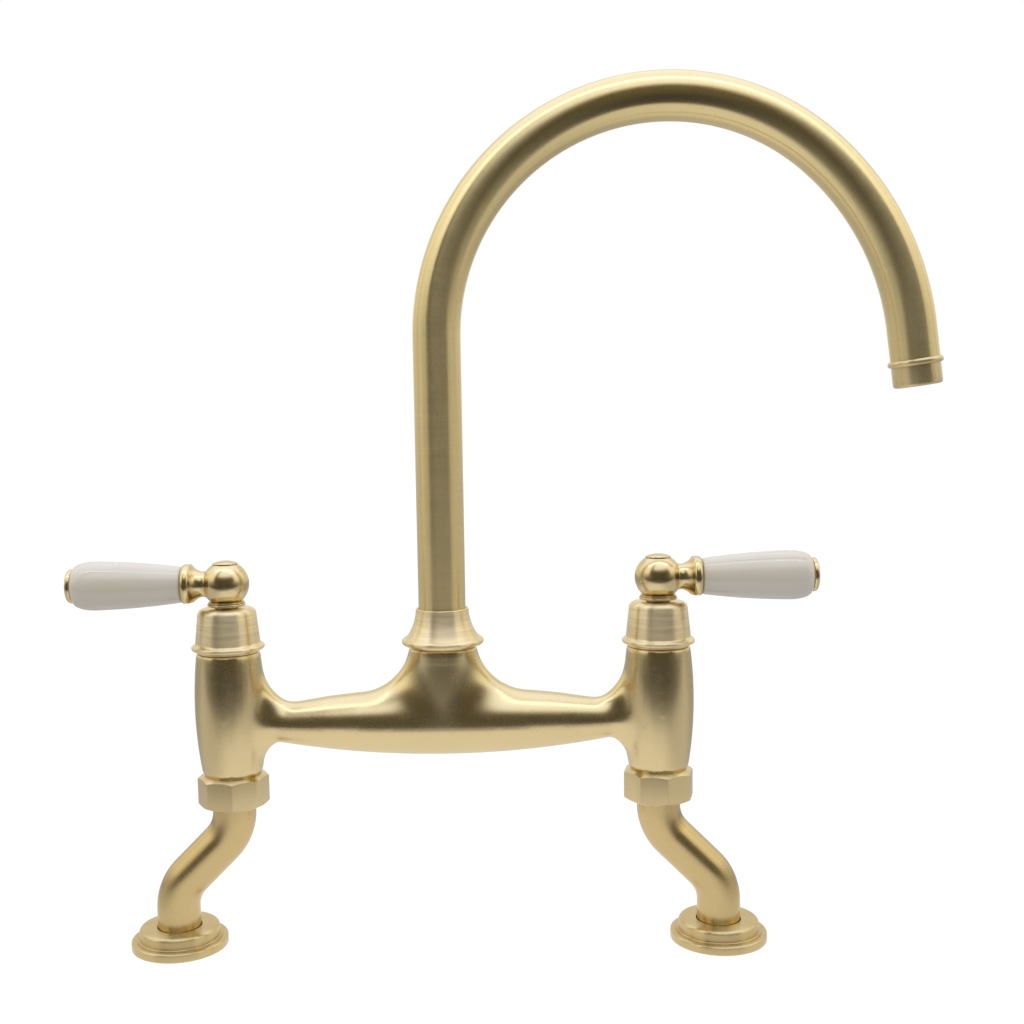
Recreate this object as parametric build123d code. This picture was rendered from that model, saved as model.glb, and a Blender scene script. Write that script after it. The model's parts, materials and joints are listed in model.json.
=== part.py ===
from build123d import *
import math
import os

# A two-handle bridge mixer tap for a kitchen sink, in millimetres, +Z up.
# The origin lies on the deck, midway between the two valve axes. +X runs
# along the bridge towards the spout's outlet, and -Y faces the user.

# Layout
VALVE_SPACING = 180.0       # between the two valve axes
ARM_RISE = 20.7             # bridge axis above the bottom of the valve barrels
HUB_RISE = 32.0             # top of the spout hub above the bridge axis
BARREL_HEIGHT = 51.7

# Clearances
THREAD_GAP = 0.05           # radial gap in a screwed joint
RUNNING_GAP = 0.06          # radial gap of a shaft in its bearing
FREE_GAP = 0.3              # between pieces that turn past each other

# Bridge casting
BRIDGE_SWELL = 0.5          # belly of the bridge beyond the radius of the hub on it
ARM_RADIUS = 7.9            # arm where it meets the valve barrel
ARM_PLAIN = 20.0            # length of arm with no taper, measured from the valve axis
ARM_FILLET = 11.5
HUB_LEDGE = 2.2             # width of the hub's top round its threaded neck
HUB_FILLET = 24.5
HUB_NECK_STEP = 1.5         # thread for the spout collar, beyond the spout tube
HUB_NECK_HEIGHT = 3.6
HUB_NECK_WALL = 2.74
BARREL_FOOT_STEP = 1.05     # foot of the barrel beyond its nipple
BARREL_SWELL = 1.55         # belly of the barrel beyond its top
BARREL_RIM = 1.4            # top of the barrel beyond the cartridge's flange
NIPPLE_LENGTH = 7.7
INLET_RADIUS = 6.0
WATERWAY_RADIUS = 4.5
SEAT_DROP = 7.4             # cartridge seat below the bridge axis
SPIGOT_END_GAP = 3.0        # room under the spout's spigot

# Cranked legs, union nuts and feet
LEG_SOCKET_WALL = 1.625
LEG_BORE_RADIUS = 5.5
LEG_OFFSET = 25.6           # sideways throw of the crank
LEG_BEND_RADIUS = 14.5
LEG_BEND_ANGLE = 45.0
LEG_LOWER_STRAIGHT = 19.0
LEG_UPPER_STRAIGHT = 9.5
LEG_COLLAR_HEIGHT = 3.0
SOCKET_RADIUS = 7.475       # G 3/8 female thread in the foot of the leg
SOCKET_DEPTH = 12.0
UNION_STEP = 2.35           # G 5/8 nipple beyond the leg it is joined to
UNION_WASHER_THICKNESS = 2.0
NUT_WALL = 2.35             # from the nipple to the flats
NUT_SIDES = 8
NUT_TURN = 8.0              # turn of the first corner from +X, in degrees
NUT_GAP = 0.7               # daylight between nut and barrel
NUT_LIP = 1.7
NUT_CHAMFER = 1.5
FLANGE_RADIUS = 20.4
FLANGE_RIM_HEIGHT = 3.5
FLANGE_STEP_WIDTH = 2.4
FLANGE_STEP_HEIGHT = 0.8
FLANGE_COVE = 1.1
FLANGE_TIER_HEIGHT = 4.3
FLANGE_EDGE = 0.8
FLANGE_TIER_EDGE = 1.5
FOOT_SEAL_INSET = 4.0
FOOT_SEAL_THICKNESS = 2.0

# Quarter-turn ceramic disc cartridges
CARTRIDGE_RADIUS = 10.4     # G 1/2 male thread
CARTRIDGE_WALL = 1.3
CARTRIDGE_FLANGE_STEP = 1.4
CARTRIDGE_FLANGE_HEIGHT = 3.0
CARTRIDGE_NECK_STEP = 0.8
CARTRIDGE_STANDOFF = 0.8    # between the cup's rim and the seat
SEAT_SEAL_THICKNESS = 2.2
DISC_THICKNESS = 3.0
DISC_PORT_RADIUS = 2.2
DISC_PORT_OFFSET = 4.6
WINDOW_WIDTH = 7.0
SPINDLE_FOOT_INSET = 1.4    # from the rim of the disc
SPINDLE_FOOT_HEIGHT = 3.5
SPINDLE_RADIUS = 5.0
SPINDLE_NECK_STEP = 0.4
SPLINE_STEP = 0.6
TONGUE_WIDTH = 3.0
TONGUE_DEPTH = 1.2
ORING_SECTION = 2.2
ORING_SQUEEZE = 0.8         # section left once the ring is fitted

# Bell caps over the cartridges
CAP_HEIGHT = 18.3
CAP_TAPER = 1.6             # narrowing of the bell from its bead to its shoulder
CAP_OVERHANG = 0.7          # bell beyond the top of the barrel
CAP_BEAD_OVERHANG = 2.4     # bead beyond the top of the barrel
CAP_BEAD_HEIGHT = 2.8
CAP_SKIRT_HEIGHT = 0.6
CAP_SHOULDER = 2.7          # rounding at the top edge
CAP_ROOF = 3.2
CAP_HEADROOM = 2.5          # over the cartridge's neck

# Levers
BALL_RADIUS = 10.3
BALL_FLAT_DROP = 7.3        # flat under the ball, below its centre
COLLAR_RING_RADIUS = 7.9
COLLAR_RING_HEIGHT = 1.8
CAP_DAYLIGHT = 1.1          # spindle neck that shows over the cap
NECK_RADIUS = 5.55
NECK_REACH = 10.5           # narrowest point of the neck, from the valve axis
FERRULE_RADIUS = 9.15
FERRULE_REACH = 17.0
FERRULE_LIP = 2.2
NECK_FLARE = 0.3            # share of the flare reached halfway along the neck
HANDLE_WASHER_THICKNESS = 0.4
HANDLE_WASHER_RADIUS = 6.6
HANDLE_LENGTH = 46.9
HANDLE_ROOT_RADIUS = 7.45
HANDLE_BELLY_RADIUS = 10.25
HANDLE_END_RADIUS = 7.3
HANDLE_NOSE = 8.6           # length of the rounded end
HANDLE_FULLNESS = 0.53      # radius halfway, as a share of root and belly together
FINIAL_RADIUS = 7.1
FINIAL_THICKNESS = 2.6
ROD_RADIUS = 2.5
ROD_GRIP = 8.5              # thread in the hub
BUTTON_RADIUS = 5.2
BUTTON_HEIGHT = 3.2
BUTTON_DOME = 1.1
BUTTON_SINK = 2.9           # plug below the ball's surface
SCREW_RADIUS = 2.0
SCREW_LENGTH = 8.0
SCREW_HEAD_RADIUS = 3.5
SCREW_HEAD_HEIGHT = 2.2
SCREW_WEB = 2.0             # web of the hub under the screw's head
SCREW_HEADROOM = 1.1        # between the screw's head and the button
SCREW_SOCKET = 2.5          # across the flats of the hexagon socket

# Swan-neck spout
TUBE_RADIUS = 9.8
TUBE_WALL = 1.5
SPOUT_REACH = 187.2         # across the main bend, from the riser over the crown
SPOUT_SPRING = 127.1        # foot of the main bend above the hub
SPOUT_EASE = 1.2            # radius of the bend down to the outlet, as a share of the main bend's
EASE_ANGLE = 50.0           # where that bend takes over, in degrees up from level
OUTLET_TILT = 7.7           # outlet leans away from the tap by this many degrees
OUTLET_STRAIGHT = 15.2
OUTLET_RING_WIDTH = 1.2
OUTLET_RING_HEIGHT = 2.6
NOZZLE_LENGTH = 8.4
NOZZLE_EDGE = 1.2
NOZZLE_WALL = 2.0
NOZZLE_PLUG_LENGTH = 6.0
NOZZLE_LEDGE = 2.1          # seat of the aerator's washer
NOZZLE_FLOOR = 1.5
AERATOR_SEAL_THICKNESS = 1.0
AERATOR_HEIGHT = 3.4
AERATOR_RIM = 1.2
AERATOR_HOLE_RADIUS = 0.7
AERATOR_RINGS = 2           # rings of holes round the middle one
AERATOR_STEP = 6            # holes added by each ring
SCREEN_THICKNESS = 0.6
SPIGOT_WALL = 2.4
SPIGOT_LENGTH = 24.0
SPIGOT_FLANGE_HEIGHT = 2.3
SPIGOT_PLUG_LENGTH = 12.0
SPIGOT_ORING_INSET = 6.0
SPIGOT_ORING_PITCH = 8.0
SWIVEL_WASHER_THICKNESS = 1.4
SPOUT_COLLAR_HEIGHT = 16.0
SPOUT_COLLAR_WALL = 1.6    # at its top, round the spout tube
SPOUT_COLLAR_OVERHANG = 1.9     # flare beyond the hub
SPOUT_COLLAR_BEAD_OVERHANG = 3.6    # bead beyond the hub
SPOUT_COLLAR_FLARE = 0.33   # share of the flare reached halfway down
SPOUT_COLLAR_BEAD_HEIGHT = 2.8
SPOUT_COLLAR_SKIRT_HEIGHT = 0.8

# Heights above the deck, worked up from the feet
BEND = math.radians(LEG_BEND_ANGLE)
CRANK_RUN = (LEG_OFFSET - 2 * LEG_BEND_RADIUS * (1 - math.cos(BEND))) / math.sin(BEND)
CRANK_HEIGHT = 2 * LEG_BEND_RADIUS * math.sin(BEND) + CRANK_RUN * math.cos(BEND)
LEG_TOP_Z = LEG_LOWER_STRAIGHT + CRANK_HEIGHT + LEG_UPPER_STRAIGHT
NIPPLE_FOOT_Z = LEG_TOP_Z + UNION_WASHER_THICKNESS
BARREL_FOOT_Z = NIPPLE_FOOT_Z + NIPPLE_LENGTH
BARREL_TOP_Z = BARREL_FOOT_Z + BARREL_HEIGHT
ARM_Z = BARREL_FOOT_Z + ARM_RISE
HUB_TOP_Z = ARM_Z + HUB_RISE
SEAT_Z = ARM_Z - SEAT_DROP
FIXED_DISC_Z = SEAT_Z + SEAT_SEAL_THICKNESS
MOVING_DISC_Z = FIXED_DISC_Z + DISC_THICKNESS
SPINDLE_FOOT_Z = MOVING_DISC_Z + DISC_THICKNESS
CUP_ROOF_Z = SPINDLE_FOOT_Z + SPINDLE_FOOT_HEIGHT + FREE_GAP
CAP_TOP_Z = BARREL_TOP_Z + CAP_HEIGHT
SPLINE_FOOT_Z = CAP_TOP_Z + CAP_DAYLIGHT
BALL_FLAT_Z = SPLINE_FOOT_Z + COLLAR_RING_HEIGHT
LEVER_Z = BALL_FLAT_Z + BALL_FLAT_DROP
BUTTON_FOOT_Z = LEVER_Z + math.sqrt(BALL_RADIUS ** 2 - BUTTON_RADIUS ** 2) - BUTTON_SINK
SCREW_SEAT_Z = BUTTON_FOOT_Z - SCREW_HEADROOM - SCREW_HEAD_HEIGHT
SPLINE_TOP_Z = SCREW_SEAT_Z - SCREW_WEB
SWIVEL_WASHER_Z = HUB_TOP_Z + HUB_NECK_HEIGHT
SPIGOT_FLANGE_Z = SWIVEL_WASHER_Z + SWIVEL_WASHER_THICKNESS
TUBE_FOOT_Z = SPIGOT_FLANGE_Z + SPIGOT_FLANGE_HEIGHT
SPRING_Z = HUB_TOP_Z + SPOUT_SPRING

# Fits worked out from the sizes above
FLANGE_STEP_RADIUS = FLANGE_RADIUS - FLANGE_STEP_WIDTH
FLANGE_TIER_RADIUS = FLANGE_STEP_RADIUS - FLANGE_COVE
FLANGE_HEIGHT = FLANGE_RIM_HEIGHT + FLANGE_STEP_HEIGHT + FLANGE_TIER_HEIGHT
FOOT_SEAL_RADIUS = FLANGE_RADIUS - FOOT_SEAL_INSET
LEG_RADIUS = SOCKET_RADIUS + LEG_SOCKET_WALL
NIPPLE_RADIUS = LEG_RADIUS + UNION_STEP
LEG_COLLAR_RADIUS = NIPPLE_RADIUS - FREE_GAP
NUT_FLAT_RADIUS = NIPPLE_RADIUS + NUT_WALL
CARTRIDGE_BORE_RADIUS = CARTRIDGE_RADIUS + THREAD_GAP
CARTRIDGE_FLANGE_RADIUS = CARTRIDGE_RADIUS + CARTRIDGE_FLANGE_STEP
CARTRIDGE_NECK_RADIUS = CARTRIDGE_RADIUS - CARTRIDGE_NECK_STEP
CARTRIDGE_NECK_Z = CAP_TOP_Z - CAP_ROOF - CAP_HEADROOM
DISC_RADIUS = CARTRIDGE_RADIUS - CARTRIDGE_WALL - FREE_GAP
WINDOW_HEIGHT = DISC_THICKNESS + SPINDLE_FOOT_HEIGHT
SPINDLE_FOOT_RADIUS = DISC_RADIUS - SPINDLE_FOOT_INSET
SPINDLE_NECK_RADIUS = SPINDLE_RADIUS - SPINDLE_NECK_STEP
SPLINE_RADIUS = SPINDLE_NECK_RADIUS - SPLINE_STEP
ORING_DEPTH = ORING_SQUEEZE * ORING_SECTION
BARREL_FOOT_RADIUS = NIPPLE_RADIUS + BARREL_FOOT_STEP
BARREL_TOP_RADIUS = CARTRIDGE_FLANGE_RADIUS + BARREL_RIM
BARREL_BELLY_RADIUS = BARREL_TOP_RADIUS + BARREL_SWELL
CAP_LOW_RADIUS = BARREL_TOP_RADIUS + CAP_OVERHANG
CAP_TOP_RADIUS = CAP_LOW_RADIUS - CAP_TAPER
CAP_BEAD_RADIUS = BARREL_TOP_RADIUS + CAP_BEAD_OVERHANG
HANDLE_START = FERRULE_REACH + HANDLE_WASHER_THICKNESS
HANDLE_END = HANDLE_START + HANDLE_LENGTH
TUBE_BORE_RADIUS = TUBE_RADIUS - TUBE_WALL
HUB_NECK_RADIUS = TUBE_RADIUS + HUB_NECK_STEP
HUB_RADIUS = HUB_NECK_RADIUS + HUB_LEDGE
BRIDGE_RADIUS = HUB_RADIUS + BRIDGE_SWELL
SPIGOT_BEARING_RADIUS = HUB_NECK_RADIUS - HUB_NECK_WALL
SPIGOT_RADIUS = SPIGOT_BEARING_RADIUS - RUNNING_GAP
SPIGOT_BORE_RADIUS = TUBE_BORE_RADIUS - SPIGOT_WALL
SPIGOT_FLANGE_RADIUS = HUB_NECK_RADIUS - FREE_GAP
SPIGOT_FOOT_Z = SPIGOT_FLANGE_Z - SPIGOT_LENGTH
SPOUT_COLLAR_TOP_RADIUS = TUBE_RADIUS + SPOUT_COLLAR_WALL
SPOUT_COLLAR_FLARE_RADIUS = HUB_RADIUS + SPOUT_COLLAR_OVERHANG
SPOUT_COLLAR_BEAD_RADIUS = HUB_RADIUS + SPOUT_COLLAR_BEAD_OVERHANG
OUTLET_RING_RADIUS = TUBE_RADIUS + OUTLET_RING_WIDTH
NOZZLE_BORE_RADIUS = TUBE_RADIUS - NOZZLE_WALL
NOZZLE_WATERWAY_RADIUS = NOZZLE_BORE_RADIUS - NOZZLE_LEDGE
AERATOR_RADIUS = NOZZLE_BORE_RADIUS - THREAD_GAP
AERATOR_MOUTH_RADIUS = AERATOR_RADIUS - AERATOR_RIM
AERATOR_HOLE_PITCH = AERATOR_MOUTH_RADIUS / (AERATOR_RINGS + 1)
BEND_RADIUS = SPOUT_REACH / 2
EASE_RADIUS = SPOUT_EASE * BEND_RADIUS

SIDES = {"left": -1, "right": 1}


def turned(outline):
    """Solid of revolution about Z from a closed outline of (radius, height)."""
    return revolve(Plane.XZ * outline, Axis.Z, 360)


def turned_points(*points):
    """Turned solid whose outline is straight from point to point."""
    return turned(make_face(Polyline(*points, close=True)))


def rod(radius, low, high):
    """Upright cylinder between two heights."""
    return Pos(0, 0, low) * Cylinder(radius, high - low, align=(Align.CENTER, Align.CENTER, Align.MIN))


def tube(inner, outer, low, high):
    """Upright ring with a plain bore."""
    return rod(outer, low, high) - rod(inner, low, high)


def bead(inner, outer, low, high):
    """Upright ring with a half-round rim."""
    half = (high - low) / 2
    rim = ThreePointArc((outer - half, low), (outer, low + half), (outer - half, high))
    sides = Polyline((outer - half, high), (inner, high), (inner, low), (outer - half, low))
    return turned(make_face(rim + sides))


def oring(inner, height):
    """O-ring whose inside rests on a shaft of the given radius."""
    section = ORING_DEPTH / 2
    return Pos(0, 0, height) * Torus(inner + section, section)


def oring_groove(shaft_radius, height):
    """Cutter for the groove of an O-ring centred on the given height."""
    half = ORING_SECTION / 2
    return tube(shaft_radius - ORING_DEPTH, shaft_radius + ORING_SECTION, height - half, height + half)


def at_valve(side, solid):
    """Put a piece made about Z onto one valve axis, turned outwards."""
    sign = SIDES[side]
    return Pos(sign * VALVE_SPACING / 2, 0, 0) * Rot(0, 0, 0 if sign > 0 else 180) * solid


def along_lever(solid):
    """Lay a piece turned about Z along the lever's axis, pointing to +X."""
    return Pos(0, 0, LEVER_Z) * Rot(0, 90, 0) * solid


def seam_edges(solid):
    """Edges where two curved surfaces run into each other."""
    return [edge for edge in solid.edges() if edge.geom_type not in (GeomType.CIRCLE, GeomType.LINE)]


def arms():
    """Bellied bar of the bridge, turned about its own long axis."""
    half = VALVE_SPACING / 2
    taper = half - ARM_PLAIN
    belly = ThreePointArc((ARM_RADIUS, -taper), (BRIDGE_RADIUS, 0), (ARM_RADIUS, taper))
    rest = Polyline((ARM_RADIUS, taper), (ARM_RADIUS, half), (0, half), (0, -half), (ARM_RADIUS, -half),
                    (ARM_RADIUS, -taper))
    return Pos(0, 0, ARM_Z) * Rot(0, 90, 0) * turned(make_face(belly + rest))


def barrel():
    """Barrel-shaped valve body with its threaded nipple, about Z."""
    swell = ThreePointArc((BARREL_FOOT_RADIUS, BARREL_FOOT_Z),
                          (BARREL_BELLY_RADIUS, (BARREL_FOOT_Z + BARREL_TOP_Z) / 2),
                          (BARREL_TOP_RADIUS, BARREL_TOP_Z))
    rest = Polyline((BARREL_TOP_RADIUS, BARREL_TOP_Z), (0, BARREL_TOP_Z), (0, BARREL_FOOT_Z),
                    (BARREL_FOOT_RADIUS, BARREL_FOOT_Z))
    return turned(make_face(swell + rest))


def bridge_body():
    """One casting: two valve barrels, the arms between them and the spout hub."""
    hub = rod(HUB_RADIUS, ARM_Z, HUB_TOP_Z + HUB_FILLET)
    body = arms() + hub
    body = fillet(seam_edges(body), HUB_FILLET)
    body -= rod(HUB_RADIUS + HUB_FILLET, HUB_TOP_Z, HUB_TOP_Z + HUB_FILLET)
    for side in SIDES:
        before = set(seam_edges(body))
        body += at_valve(side, barrel())
        joint = [edge for edge in seam_edges(body) if edge not in before and lies_near_valve(edge, side)]
        body = fillet(joint, ARM_FILLET)
    body += rod(HUB_NECK_RADIUS, HUB_TOP_Z, SWIVEL_WASHER_Z)
    for side in SIDES:
        body += at_valve(side, rod(NIPPLE_RADIUS, NIPPLE_FOOT_Z, BARREL_FOOT_Z))
    for side in SIDES:
        body -= at_valve(side, rod(CARTRIDGE_BORE_RADIUS, SEAT_Z, BARREL_TOP_Z))
        body -= at_valve(side, rod(INLET_RADIUS, NIPPLE_FOOT_Z, SEAT_Z))
    half = VALVE_SPACING / 2
    body -= Pos(0, 0, ARM_Z) * Rot(0, 90, 0) * rod(WATERWAY_RADIUS, -half, half)
    body -= rod(SPIGOT_BEARING_RADIUS, SPIGOT_FOOT_Z - SPIGOT_END_GAP, SWIVEL_WASHER_Z)
    body -= rod(SPIGOT_BORE_RADIUS, ARM_Z, HUB_TOP_Z)
    return body


def lies_near_valve(edge, side):
    """True for the seam between an arm and the valve barrel of one side."""
    centre = edge.center()
    near = VALVE_SPACING / 2 - ARM_PLAIN
    return SIDES[side] * centre.X > near and abs(centre.Z - ARM_Z) < BARREL_HEIGHT / 2


def leg_path():
    """Centre line of a cranked leg, from the deck up to the union."""
    radius = LEG_BEND_RADIUS
    swing = radius * (1 - math.cos(BEND))
    climb = radius * math.sin(BEND)
    low = LEG_LOWER_STRAIGHT
    high = low + CRANK_HEIGHT
    half_swing = radius * (1 - math.cos(BEND / 2))
    half_climb = radius * math.sin(BEND / 2)
    edges = [
        Line((LEG_OFFSET, 0, 0), (LEG_OFFSET, 0, low)),
        ThreePointArc((LEG_OFFSET, 0, low), (LEG_OFFSET - half_swing, 0, low + half_climb),
                      (LEG_OFFSET - swing, 0, low + climb)),
        Line((LEG_OFFSET - swing, 0, low + climb), (swing, 0, high - climb)),
        ThreePointArc((swing, 0, high - climb), (half_swing, 0, high - half_climb), (0, 0, high)),
        Line((0, 0, high), (0, 0, LEG_TOP_Z)),
    ]
    return Wire(edges)


def leg():
    """Cranked leg: a bent tube with a union collar above and a threaded socket below."""
    path = leg_path()
    start = Plane((LEG_OFFSET, 0, 0))
    solid = sweep(start * Circle(LEG_RADIUS), path)
    solid += rod(LEG_COLLAR_RADIUS, LEG_TOP_Z - LEG_COLLAR_HEIGHT, LEG_TOP_Z)
    solid -= sweep(start * Circle(LEG_BORE_RADIUS), path)
    solid -= Pos(LEG_OFFSET, 0, 0) * rod(SOCKET_RADIUS, 0, SOCKET_DEPTH)
    return solid


def foot_flange():
    """Two-tier cover plate that hides the hole in the deck."""
    hole = LEG_RADIUS + FREE_GAP
    step_z = FLANGE_RIM_HEIGHT + FLANGE_STEP_HEIGHT
    lower_edge = RadiusArc((FLANGE_RADIUS, FLANGE_RIM_HEIGHT - FLANGE_EDGE),
                           (FLANGE_RADIUS - FLANGE_EDGE, FLANGE_RIM_HEIGHT), -FLANGE_EDGE)
    upper_edge = RadiusArc((FLANGE_TIER_RADIUS, FLANGE_HEIGHT - FLANGE_TIER_EDGE),
                           (FLANGE_TIER_RADIUS - FLANGE_TIER_EDGE, FLANGE_HEIGHT), -FLANGE_TIER_EDGE)
    steps = Polyline((FLANGE_RADIUS - FLANGE_EDGE, FLANGE_RIM_HEIGHT),
                     (FLANGE_STEP_RADIUS, FLANGE_RIM_HEIGHT), (FLANGE_STEP_RADIUS, step_z),
                     (FLANGE_TIER_RADIUS, step_z), (FLANGE_TIER_RADIUS, FLANGE_HEIGHT - FLANGE_TIER_EDGE))
    inside = Polyline((FLANGE_TIER_RADIUS - FLANGE_TIER_EDGE, FLANGE_HEIGHT), (hole, FLANGE_HEIGHT),
                      (hole, FOOT_SEAL_THICKNESS), (FOOT_SEAL_RADIUS + THREAD_GAP, FOOT_SEAL_THICKNESS),
                      (FOOT_SEAL_RADIUS + THREAD_GAP, 0), (FLANGE_RADIUS, 0),
                      (FLANGE_RADIUS, FLANGE_RIM_HEIGHT - FLANGE_EDGE))
    return Pos(LEG_OFFSET, 0, 0) * turned(make_face(lower_edge + steps + upper_edge + inside))


def foot_seal():
    """Rubber ring let into the underside of the flange."""
    return Pos(LEG_OFFSET, 0, 0) * tube(LEG_RADIUS + FREE_GAP, FOOT_SEAL_RADIUS, 0, FOOT_SEAL_THICKNESS)


def union_nut():
    """Eight-sided nut that draws the leg's collar up to the nipple."""
    top = BARREL_FOOT_Z - NUT_GAP
    shoulder = LEG_TOP_Z - LEG_COLLAR_HEIGHT
    bottom = shoulder - NUT_LIP
    corner = NUT_FLAT_RADIUS / math.cos(math.pi / NUT_SIDES)
    prism = Pos(0, 0, bottom) * Rot(0, 0, NUT_TURN) * extrude(RegularPolygon(corner, NUT_SIDES), top - bottom)
    inner = corner - 2 * NUT_CHAMFER
    blank = turned_points((0, bottom), (inner, bottom), (corner, bottom + NUT_CHAMFER),
                          (corner, top - NUT_CHAMFER), (inner, top), (0, top))
    nut = prism & blank
    nut -= rod(LEG_RADIUS + FREE_GAP, bottom, shoulder)
    nut -= rod(NIPPLE_RADIUS + THREAD_GAP, shoulder, top)
    return nut


def union_washer():
    """Fibre washer squeezed between the leg and the nipple."""
    return tube(INLET_RADIUS, LEG_COLLAR_RADIUS, LEG_TOP_Z, NIPPLE_FOOT_Z)


def valve_cap():
    """Bell-shaped cover screwed down over the cartridge."""
    low = BARREL_TOP_Z + CAP_SKIRT_HEIGHT
    cove_z = low + CAP_BEAD_HEIGHT
    half = CAP_BEAD_HEIGHT / 2
    skirt = BARREL_TOP_RADIUS - FREE_GAP
    outside = [
        Polyline((skirt, BARREL_TOP_Z), (skirt, low), (CAP_BEAD_RADIUS - half, low)),
        ThreePointArc((CAP_BEAD_RADIUS - half, low), (CAP_BEAD_RADIUS, low + half),
                      (CAP_BEAD_RADIUS - half, cove_z)),
        Polyline((CAP_BEAD_RADIUS - half, cove_z), (CAP_LOW_RADIUS, cove_z),
                 (CAP_TOP_RADIUS, CAP_TOP_Z - CAP_SHOULDER)),
        RadiusArc((CAP_TOP_RADIUS, CAP_TOP_Z - CAP_SHOULDER), (CAP_TOP_RADIUS - CAP_SHOULDER, CAP_TOP_Z),
                  -CAP_SHOULDER),
    ]
    flange_top = BARREL_TOP_Z + CARTRIDGE_FLANGE_HEIGHT
    cavity = CARTRIDGE_FLANGE_RADIUS + FREE_GAP
    thread = CARTRIDGE_NECK_RADIUS + THREAD_GAP
    neck_hole = SPINDLE_NECK_RADIUS + FREE_GAP
    roof = CAP_TOP_Z - CAP_ROOF
    inside = Polyline((CAP_TOP_RADIUS - CAP_SHOULDER, CAP_TOP_Z), (neck_hole, CAP_TOP_Z), (neck_hole, roof),
                      (thread, roof), (thread, flange_top), (cavity, flange_top), (cavity, BARREL_TOP_Z),
                      (skirt, BARREL_TOP_Z))
    return turned(make_face(outside + [inside]))


def cartridge_housing():
    """Brass cartridge body: a cup round the discs, a flange and a threaded neck."""
    foot = SEAT_Z + CARTRIDGE_STANDOFF
    flange_top = BARREL_TOP_Z + CARTRIDGE_FLANGE_HEIGHT
    cup = CARTRIDGE_RADIUS - CARTRIDGE_WALL
    bearing = SPINDLE_RADIUS + RUNNING_GAP
    housing = turned_points((cup, foot), (CARTRIDGE_RADIUS, foot), (CARTRIDGE_RADIUS, BARREL_TOP_Z),
                            (CARTRIDGE_FLANGE_RADIUS, BARREL_TOP_Z), (CARTRIDGE_FLANGE_RADIUS, flange_top),
                            (CARTRIDGE_NECK_RADIUS, flange_top), (CARTRIDGE_NECK_RADIUS, CARTRIDGE_NECK_Z),
                            (bearing, CARTRIDGE_NECK_Z), (bearing, CUP_ROOF_Z), (cup, CUP_ROOF_Z))
    window = Box(2 * CARTRIDGE_RADIUS, WINDOW_WIDTH, WINDOW_HEIGHT)
    return housing - Pos(0, 0, MOVING_DISC_Z + WINDOW_HEIGHT / 2) * window


def ported_disc(low, turn):
    """Ceramic disc with two round ports on one diameter."""
    disc = rod(DISC_RADIUS, low, low + DISC_THICKNESS)
    for sign in SIDES.values():
        port = rod(DISC_PORT_RADIUS, low, low + DISC_THICKNESS)
        disc -= Rot(0, 0, turn) * Pos(sign * DISC_PORT_OFFSET, 0, 0) * port
    return disc


def fixed_disc():
    """Lower disc, held still by the cup, with its ports across the bridge."""
    return ported_disc(FIXED_DISC_Z, 90)


def tongue(slack):
    """Driving tongue of the spindle, or the slot for it."""
    width = TONGUE_WIDTH + 2 * slack
    length = DISC_RADIUS + 2 * slack
    block = Box(width, length, TONGUE_DEPTH + slack, align=(Align.CENTER, Align.CENTER, Align.MAX))
    return Pos(0, 0, SPINDLE_FOOT_Z) * block


def moving_disc():
    """Upper disc, turned by the spindle: its ports face the blank part of the lower one."""
    return ported_disc(MOVING_DISC_Z, 0) - tongue(RUNNING_GAP)


def seat_seal():
    """Rubber ring between the lower disc and the seat in the barrel."""
    return tube(INLET_RADIUS, DISC_RADIUS, SEAT_Z, FIXED_DISC_Z)


def spindle_oring_z():
    """Height of the O-ring on the spindle, halfway up the cartridge."""
    return (CUP_ROOF_Z + BARREL_TOP_Z) / 2


def spindle():
    """Turned spindle with its foot, O-ring groove and the plain core of the spline."""
    foot_top = SPINDLE_FOOT_Z + SPINDLE_FOOT_HEIGHT
    shaft = turned_points((0, SPINDLE_FOOT_Z), (SPINDLE_FOOT_RADIUS, SPINDLE_FOOT_Z),
                          (SPINDLE_FOOT_RADIUS, foot_top), (SPINDLE_RADIUS, foot_top),
                          (SPINDLE_RADIUS, CARTRIDGE_NECK_Z), (SPINDLE_NECK_RADIUS, CARTRIDGE_NECK_Z),
                          (SPINDLE_NECK_RADIUS, SPLINE_FOOT_Z), (SPLINE_RADIUS, SPLINE_FOOT_Z),
                          (SPLINE_RADIUS, SPLINE_TOP_Z), (0, SPLINE_TOP_Z))
    shaft += tongue(0)
    shaft -= oring_groove(SPINDLE_RADIUS, spindle_oring_z())
    return shaft - rod(SCREW_RADIUS + THREAD_GAP, SPLINE_TOP_Z - SCREW_LENGTH, SPLINE_TOP_Z)


def spindle_oring():
    """O-ring that seals the spindle in its bearing."""
    return oring(SPINDLE_RADIUS - ORING_DEPTH, spindle_oring_z())


def neck_and_ferrule():
    """Trumpet neck of the lever and the lipped ferrule at its end, about Z."""
    lip_start = FERRULE_REACH - FERRULE_LIP
    half = FERRULE_LIP / 2
    flare = (NECK_REACH + lip_start) / 2
    outside = [
        Line((NECK_RADIUS, 0), (NECK_RADIUS, NECK_REACH)),
        ThreePointArc((NECK_RADIUS, NECK_REACH),
                      (NECK_RADIUS + NECK_FLARE * (FERRULE_RADIUS - half - NECK_RADIUS), flare),
                      (FERRULE_RADIUS - half, lip_start)),
        ThreePointArc((FERRULE_RADIUS - half, lip_start), (FERRULE_RADIUS, lip_start + half),
                      (FERRULE_RADIUS - half, FERRULE_REACH)),
        Polyline((FERRULE_RADIUS - half, FERRULE_REACH), (0, FERRULE_REACH), (0, 0), (NECK_RADIUS, 0)),
    ]
    return turned(make_face(outside))


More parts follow.
